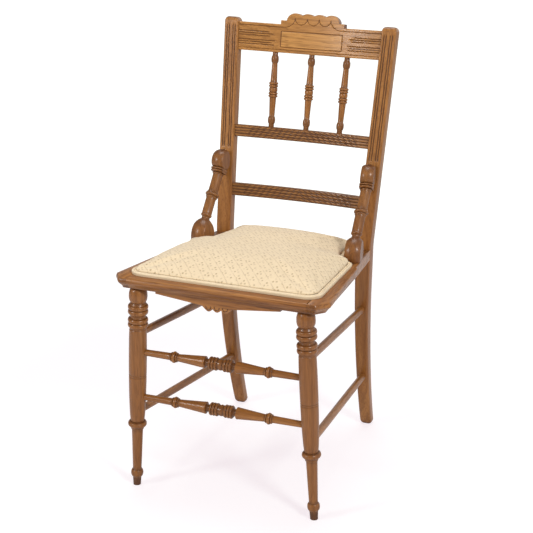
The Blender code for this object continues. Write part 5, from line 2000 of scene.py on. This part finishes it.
@dataclass
class Upholstery(SubAssembly):
    """Stuffed seat with its cover, double welt, sacking and webbing."""

    web_thickness: float = 0.0014
    web_width: float = 0.044
    web_pitch: float = 0.062
    web_row_pitch: float = 0.060
    web_first_row: float = 0.045
    web_lengthwise: int = 4
    web_crosswise: int = 3
    web_front_lap: float = 0.016
    web_back_lap: float = 0.020
    sacking_thickness: float = 0.0010
    border: float = 0.020
    front_width: float = 0.381
    side_width: float = 0.347
    side_depth: float = 0.262
    waist_width: float = 0.285
    waist_depth: float = 0.284
    back_width: float = 0.260
    back_lap: float = 0.018
    corner_r: float = 0.030
    notch_r: float = 0.018
    spacing: float = 0.003
    pad_sides: tuple[float, ...] = (0.0080, 0.0145, 0.0160, 0.0100)
    pad_depths: tuple[float, ...] = (0.020, 0.130, 0.280, 0.400)
    pad_draw: float = 0.002
    pad_foot: float = 0.3
    pad_round: float = 0.017
    pad_crown: float = 0.0185
    pad_fullness: float = 4.6
    pad_back_rise: float = 0.008
    pad_lap: float = 0.0034
    pad_shares: tuple[float, ...] = (0.97, 0.93, 0.88, 0.82, 0.75, 0.65, 0.5, 0.3, 0.1)
    crown_slack: float = 0.0035
    held_share: float = 0.35
    pressure: float = 4.0
    swell_frames: int = 20
    swell_cap: float = 0.0055
    voxel: float = 0.0040
    welt_width: float = 0.010
    welt_height: float = 0.0062
    welt_tuck: float = 0.0006
    welt_overlap: float = 0.0002
    welt_arcs: tuple[tuple[float, float], ...] = ((190, 25), (155, -10))
    fill: float = 0.8

    def back_edge(self) -> float:
        """Depth of the cover's rear edge in the seat frame."""
        return self.layout.seat_depth + self.back_lap

    def outline(self) -> Array:
        """Outer edge of the cover in the seat frame, at an even spacing.

        Returns:
            Rows of x and depth.
        """
        corners = [(self.front_width / 2, self.border, self.corner_r),
                   (self.side_width / 2, self.side_depth, self.notch_r),
                   (self.waist_width / 2, self.waist_depth, self.notch_r),
                   (self.back_width / 2, self.back_edge(), self.notch_r)]
        corners += [(-x, depth, radius) for x, depth, radius in reversed(corners)]
        return spaced(rounded_outline(corners), self.spacing)

    def web_top(self) -> float:
        """Height of the webbing's top above the rails."""
        return 2 * (self.layout.fit + self.web_thickness)

    def back_rise(self, flat: Array) -> Array:
        """Extra stuffing towards the middle of the back edge.

        Args:
            flat: Rows of x and depth.

        Returns:
            The rise.
        """
        x, depth = flat.T
        share = np.clip(2 * (depth - self.border) / (self.back_edge() - self.border) - 1, 0, None)
        return self.pad_back_rise * share * np.clip(1 - (2 * x / self.back_width) ** 2, 0, None)

    def side_height(self, flat: Array) -> Array:
        """Height of the pad's side, which is lower along the front and the back."""
        return np.interp(flat[:, 1], self.pad_depths, self.pad_sides)

    def pad(self) -> Piece:
        """Make the pad: a slack form, swelled by a short cloth simulation.

        Returns:
            The pad.
        """
        edge = inset(self.outline(), self.welt_width - self.pad_lap)
        middle = np.array([0, (self.border + self.back_edge()) / 2])
        base = self.web_top() + self.layout.fit + self.sacking_thickness + self.layout.fit
        foot = self.pad_foot
        rings = []
        for draw, share in ((self.pad_draw, 0.0), (0.25 * self.pad_draw, foot / 2), (0.0, foot)):
            flat = inset(edge, draw)
            rings.append(np.c_[flat, base + share * self.side_height(flat)])
        for angle in np.linspace(0, QUARTER, 9)[1:]:
            flat = inset(edge, self.pad_round * (1 - math.cos(angle)))
            high = self.side_height(flat) * (foot + (1 - foot) * math.sin(angle))
            rings.append(np.c_[flat, base + high + self.back_rise(flat) * math.sin(angle)])
        shoulder = inset(edge, self.pad_round)
        for share in self.pad_shares:
            flat = middle + (shoulder - middle) * share
            crown = (self.pad_crown - self.crown_slack) * (1 - share ** self.pad_fullness)
            rings.append(np.c_[flat, base + self.side_height(flat) + crown + self.back_rise(flat)])
        pad = wrap("seat_pad", carried(self.layout.seat(), np.array(rings)))
        applied(pad, "REMESH", mode="VOXEL", voxel_size=self.voxel)
        self.swell(pad)
        applied(pad, "SUBSURF", levels=1, render_levels=1)
        smooth(pad, 80.0)
        return pad

    def swell(self, pad: Piece) -> None:
        """Swell the pad under its cover, with its lower edge held down.

        Args:
            pad: The slack pad, which is changed.
        """
        rest = points_of(pad)
        flat = carried(self.layout.seat().inverted(), rest)
        base = self.web_top() + self.sacking_thickness
        held = np.flatnonzero(flat[:, 2] < base + self.held_share * min(self.pad_sides))
        group = pad.vertex_groups.new(name="held")
        group.add([int(k) for k in held], 1.0, "REPLACE")
        select_only(pad)
        bpy.ops.object.modifier_add(type="CLOTH")
        cloth = pad.modifiers["Cloth"]
        cloth.settings.quality = 5
        cloth.settings.use_pressure = True
        cloth.settings.uniform_pressure_force = self.pressure
        cloth.settings.effector_weights.gravity = 0.0
        cloth.settings.vertex_group_mass = "held"
        cloth.point_cache.frame_start = 1
        cloth.point_cache.frame_end = self.swell_frames
        for step in range(1, self.swell_frames + 1):
            bpy.context.scene.frame_set(step)
        bpy.ops.object.modifier_apply(modifier="Cloth")
        bpy.context.scene.frame_set(1)
        moved = points_of(pad) - rest
        reach = np.linalg.norm(moved, axis=1)[:, None]
        move_points(pad, rest + moved * np.minimum(1.0, self.swell_cap / np.maximum(reach, 1e-9)))
        pad.vertex_groups.clear()

    def welt(self) -> Piece:
        """Wrap the double welt: two cords side by side under one strip of cover.

        Returns:
            The welt.
        """
        foot = self.layout.fit
        radius = self.welt_width / 4 + self.welt_overlap
        middle = foot + self.welt_height - radius
        section = [(self.welt_tuck, foot)]
        for centre, arc in zip((radius, self.welt_width - radius), self.welt_arcs):
            section += [(centre + radius * math.cos(angle), middle + radius * math.sin(angle))
                        for angle in np.radians(np.linspace(*arc, 12))]
        section.append((self.welt_width - self.welt_tuck, foot))
        outline = self.outline()
        rings = np.stack([level(inset(outline, across), high) for across, high in section], axis=1)
        welt = wrap("seat_welt", carried(self.layout.seat(), np.concatenate([rings, rings[:1]])))
        smooth(welt, 60.0)
        return welt

    def web(self, node: str, crosswise: bool, where: float, path: list[tuple[float, float]]) -> None:
        """Wrap one strip of webbing and keep it.

        Args:
            node: The node that it stands for.
            crosswise: Whether it runs from side to side.
            where: Place of its middle line.
            path: Runs and heights along it.
        """
        spots, highs = np.array(path).T
        runs = np.linspace(spots[0], spots[-1], 90)[:, None]
        half = self.web_width / 2
        thick = self.web_thickness
        across = np.linspace(-half, half, 9)
        lip = 0.25 * thick * (1 - np.abs(across / half) ** 8)
        side = where + np.r_[across, across[::-1]]
        high = np.interp(runs, spots, highs) + np.r_[0.25 * thick - lip, 0.75 * thick + lip]
        places = (runs, side, high) if crosswise else (side, runs, high)
        strip = board(node, self.layout.seat(), places)
        smooth(strip, 50.0)
        self.made.append(Made(strip, self.finishes.webbing, "jute_webbing"))

    def web_path(self, places: list[float], start: float, end: float,
                 first_low: bool) -> list[tuple[float, float]]:
        """Heights of a strip that passes over and under the others.

        Args:
            places: Where it crosses them.
            start: Where it starts.
            end: Where it ends.
            first_low: Whether it starts by passing under.

        Returns:
            Runs and heights.
        """
        low = self.layout.fit
        reach = self.web_width / 2 + self.web_thickness
        path = [(start, low)]
        for k, spot in enumerate(places):
            high = low if (k % 2 == 0) == first_low else 2 * low + self.web_thickness
            path += [(spot - reach, high), (spot + reach, high)]
        return path + [(end, low)]

    def webbing(self) -> None:
        """Weave the strips of webbing."""
        layout = self.layout
        front = layout.front_rail_width
        rear = layout.back_rail_rear() - layout.back_rail_width + self.web_back_lap
        columns = [(k - (self.web_lengthwise - 1) / 2) * self.web_pitch for k in range(self.web_lengthwise)]
        rows = [front + self.web_first_row + self.web_row_pitch * k for k in range(self.web_crosswise)]
        for k, x in enumerate(columns):
            path = self.web_path(rows, front - self.web_front_lap, rear, k % 2 == 0)
            self.web(f"webbing_lengthwise_{k + 1}", False, x, path)
        for k, depth in enumerate(rows):
            share = (depth + self.web_width / 2 - self.border) / (self.side_depth - self.border)
            reach = (self.front_width + (self.side_width - self.front_width) * share) / 2
            reach -= self.welt_width + 2 * layout.fit
            self.web(f"webbing_crosswise_{k + 1}", True, depth,
                     self.web_path(columns, -reach, reach, k % 2 == 1))

    def sacking(self) -> Piece:
        """Cut the sacking to the cover's outline and lay it over the webbing.

        Returns:
            The sacking.
        """
        edge = inset(self.outline(), self.welt_width + 4 * self.layout.fit)
        low = self.web_top() + self.layout.fit
        rings = [level(edge, high) for high in (low, low + self.sacking_thickness)]
        cloth = wrap("seat_burlap", carried(self.layout.seat(), np.array(rings)))
        smooth(cloth)
        return cloth

    def build(self) -> None:
        """Make the webbing, the sacking, the pad and the welt."""
        cover = self.finishes.cover
        self.webbing()
        self.made.append(Made(self.sacking(), self.finishes.sacking, "sacking"))
        pad = self.pad()
        self.made.append(Made(pad, cover[Cloth.SPRIGGED], "woven_cover"))
        self.made.append(Made(self.welt(), cover[Cloth.PLAIN], "woven_cover"))


@dataclass
class Fixings(SubAssembly):
    """Slotted screws behind the posts, and the dowels, which stay as they are in the frame."""

    shank_d: float = 0.0045
    length: float = 0.032
    point: float = 0.2
    head_d: float = 0.009
    head: float = 0.003
    slot_width: float = 0.0012
    slot_depth: float = 0.0010
    slot_turn: float = 35.0
    sides: int = 32

    def build(self) -> None:
        """Turn the right screw, cut its slot and copy it, and give the dowels their oak."""
        layout = self.layout
        outline = TurnedOutline(self.head_d)
        outline.draw((self.head, self.shank_d), ((1 - self.point) * self.length - self.head, self.shank_d),
                     (self.point * self.length, self.shank_d / 3))
        screw = turn("hip_brace_screw_right", outline.rings(), self.sides)
        blade = primitive("slot_blade", "cube", size=1)
        blade.scale = (2 * self.head_d, self.slot_width, 2 * self.slot_depth)
        blade.rotation_euler.z = math.radians(self.slot_turn)
        applied(screw, "BOOLEAN", object=blade)
        bpy.data.objects.remove(blade)
        up = layout.brace_ball_height
        head = layout.back() @ Vector((layout.back_spread(up) / 2, layout.post_depth - layout.fit, up))
        tip = head + layout.back().to_3x3() @ Vector((0, -self.length, 0))
        place(screw, along(head, tip))
        smooth(screw)
        for piece, side in ((screw, "right"), (mirrored(screw), "left")):
            self.made.append(Made(piece, self.finishes.steel, "screw_steel"))
            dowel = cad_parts[f"hip_brace_dowel_{side}"]
            dowel.data.materials.clear()
            dowel.data.materials.append(self.finishes.oak[Grain.UPRIGHT])


# Studio


@dataclass
class Studio:
    """White studio: pale floor, soft lamps and the camera at the photograph's angle."""

    camera_place: Triple = (0.9959, -2.4750, 1.3384)
    camera_tilt: float = 70.62
    camera_turn: float = 21.992
    lens: float = 97.56
    sensor: float = 36.0
    white: Colour = (1.0, 1.0, 1.0)
    floor_size: float = 14.0
    floor_colour: Colour = (0.86, 0.84, 0.85)
    floor_shade: Colour = (0.33, 0.40, 0.36)
    floor_glow: Colour = (0.76, 0.665, 0.715)
    floor_far: tuple[float, float] = (0.7, 2.2)
    ambient: float = 0.35
    front_gloss: float = 0.16
    rear_gloss: float = 0.90
    aim: float = 0.40
    lamps: tuple[tuple[str, Triple, float, float], ...] = (
        ("key", (2.6, -1.9, 2.5), 0.8, 64.0),
        ("fill", (-2.2, -2.6, 1.9), 0.7, 42.0),
        ("overhead", (-0.2, 0.4, 3.0), 1.6, 32.0))

    def build(self) -> None:
        """Set the camera, the lamps, the world and the floor."""
        scene = bpy.context.scene
        scene.view_settings.view_transform = "Standard"
        turned = (math.radians(self.camera_tilt), 0, math.radians(self.camera_turn))
        bpy.ops.object.camera_add(location=self.camera_place, rotation=turned)
        scene.camera = bpy.context.object
        scene.camera.data.lens = self.lens
        scene.camera.data.sensor_width = self.sensor
        for name, spot, size, energy in self.lamps:
            bpy.ops.object.light_add(type="AREA", location=spot)
            lamp = bpy.context.object
            lamp.name = f"{name}_softbox"
            lamp.data.shape = "DISK"
            lamp.data.size = size
            lamp.data.energy = energy
            way = Vector((0, 0, self.aim)) - Vector(spot)
            lamp.rotation_euler = way.to_track_quat("-Z", "Y").to_euler()
        self.white_world(scene)
        self.floor()

    def white_world(self, scene: bpy.types.Scene) -> None:
        """Make the surroundings white to look at and in reflections, and dimmer as light.

        Args:
            scene: The scene that they surround.
        """
        scene.world = bpy.data.worlds.new("white_studio")
        sheet = NodeSheet(scene.world, "Background")
        rays = sheet.add("LightPath", {})
        axes = sheet.axes(sheet.add("TexCoord", {}).outputs["Generated"])
        rearward = sheet.math("ADD", axes["X"], axes["Y"])
        gloss = sheet.ramp(rearward, 0.0, 1.1, self.front_gloss, self.rear_gloss, "LINEAR")
        light = sheet.ramp(rays.outputs["Is Glossy Ray"], 0.0, 1.0, self.ambient, gloss, "LINEAR")
        strength = sheet.ramp(sheet.seen(rays), 0.0, 1.0, light, 1.0, "LINEAR")
        sheet.join(sheet.shader, {"Color": (*self.white, 1.0), "Strength": strength})

    def floor(self) -> None:
        """Lay the pale floor, lifted to white for the camera, with the chair's shadow left on it."""
        floor = primitive("studio_floor", "plane", size=self.floor_size)
        with editing(floor):
            bpy.ops.mesh.subdivide(number_cuts=6)
        sheet = new_sheet("pale_studio_floor")
        where = sheet.object_place()
        tint = tuple(0.97 * channel for channel in self.floor_colour)
        bare = sheet.mix(sheet.noise(where, 1.4, 2.0), self.floor_colour, tint)
        seen = sheet.seen(sheet.add("LightPath", {}))
        length = sheet.add("VectorMath", {0: where}, operation="LENGTH").outputs["Value"]
        glow = sheet.mix(sheet.ramp(length, *self.floor_far), self.floor_glow, self.white)
        sheet.join(sheet.shader, {"Base Color": sheet.mix(seen, bare, self.floor_shade), "Roughness": 0.9,
                                  "Specular IOR Level": 0.1, "Emission Color": glow,
                                  "Emission Strength": seen})
        floor.data.materials.append(sheet.owner)


def main() -> None:
    """Build and dress the chair, sub-assembly by sub-assembly, and set the studio round it."""
    logging.basicConfig(level=logging.INFO, format="%(name)s %(message)s")
    layout = Layout()
    finishes = Finishes()
    for kind in (FrontLegs, Stretchers, BackPosts, PressedRails, CrestRail, Spindles, HipBraces, SeatFrame,
                 Upholstery, Fixings):
        part = kind(layout, finishes)
        part.build()
        part.dress()
        for made in part.made:
            faces = len(made.piece.data.polygons)
            LOG.info("%s: %d faces, stands for %s", made.piece.name, faces, made.node())
    Studio().build()


if __name__ == "__main__":
    main()
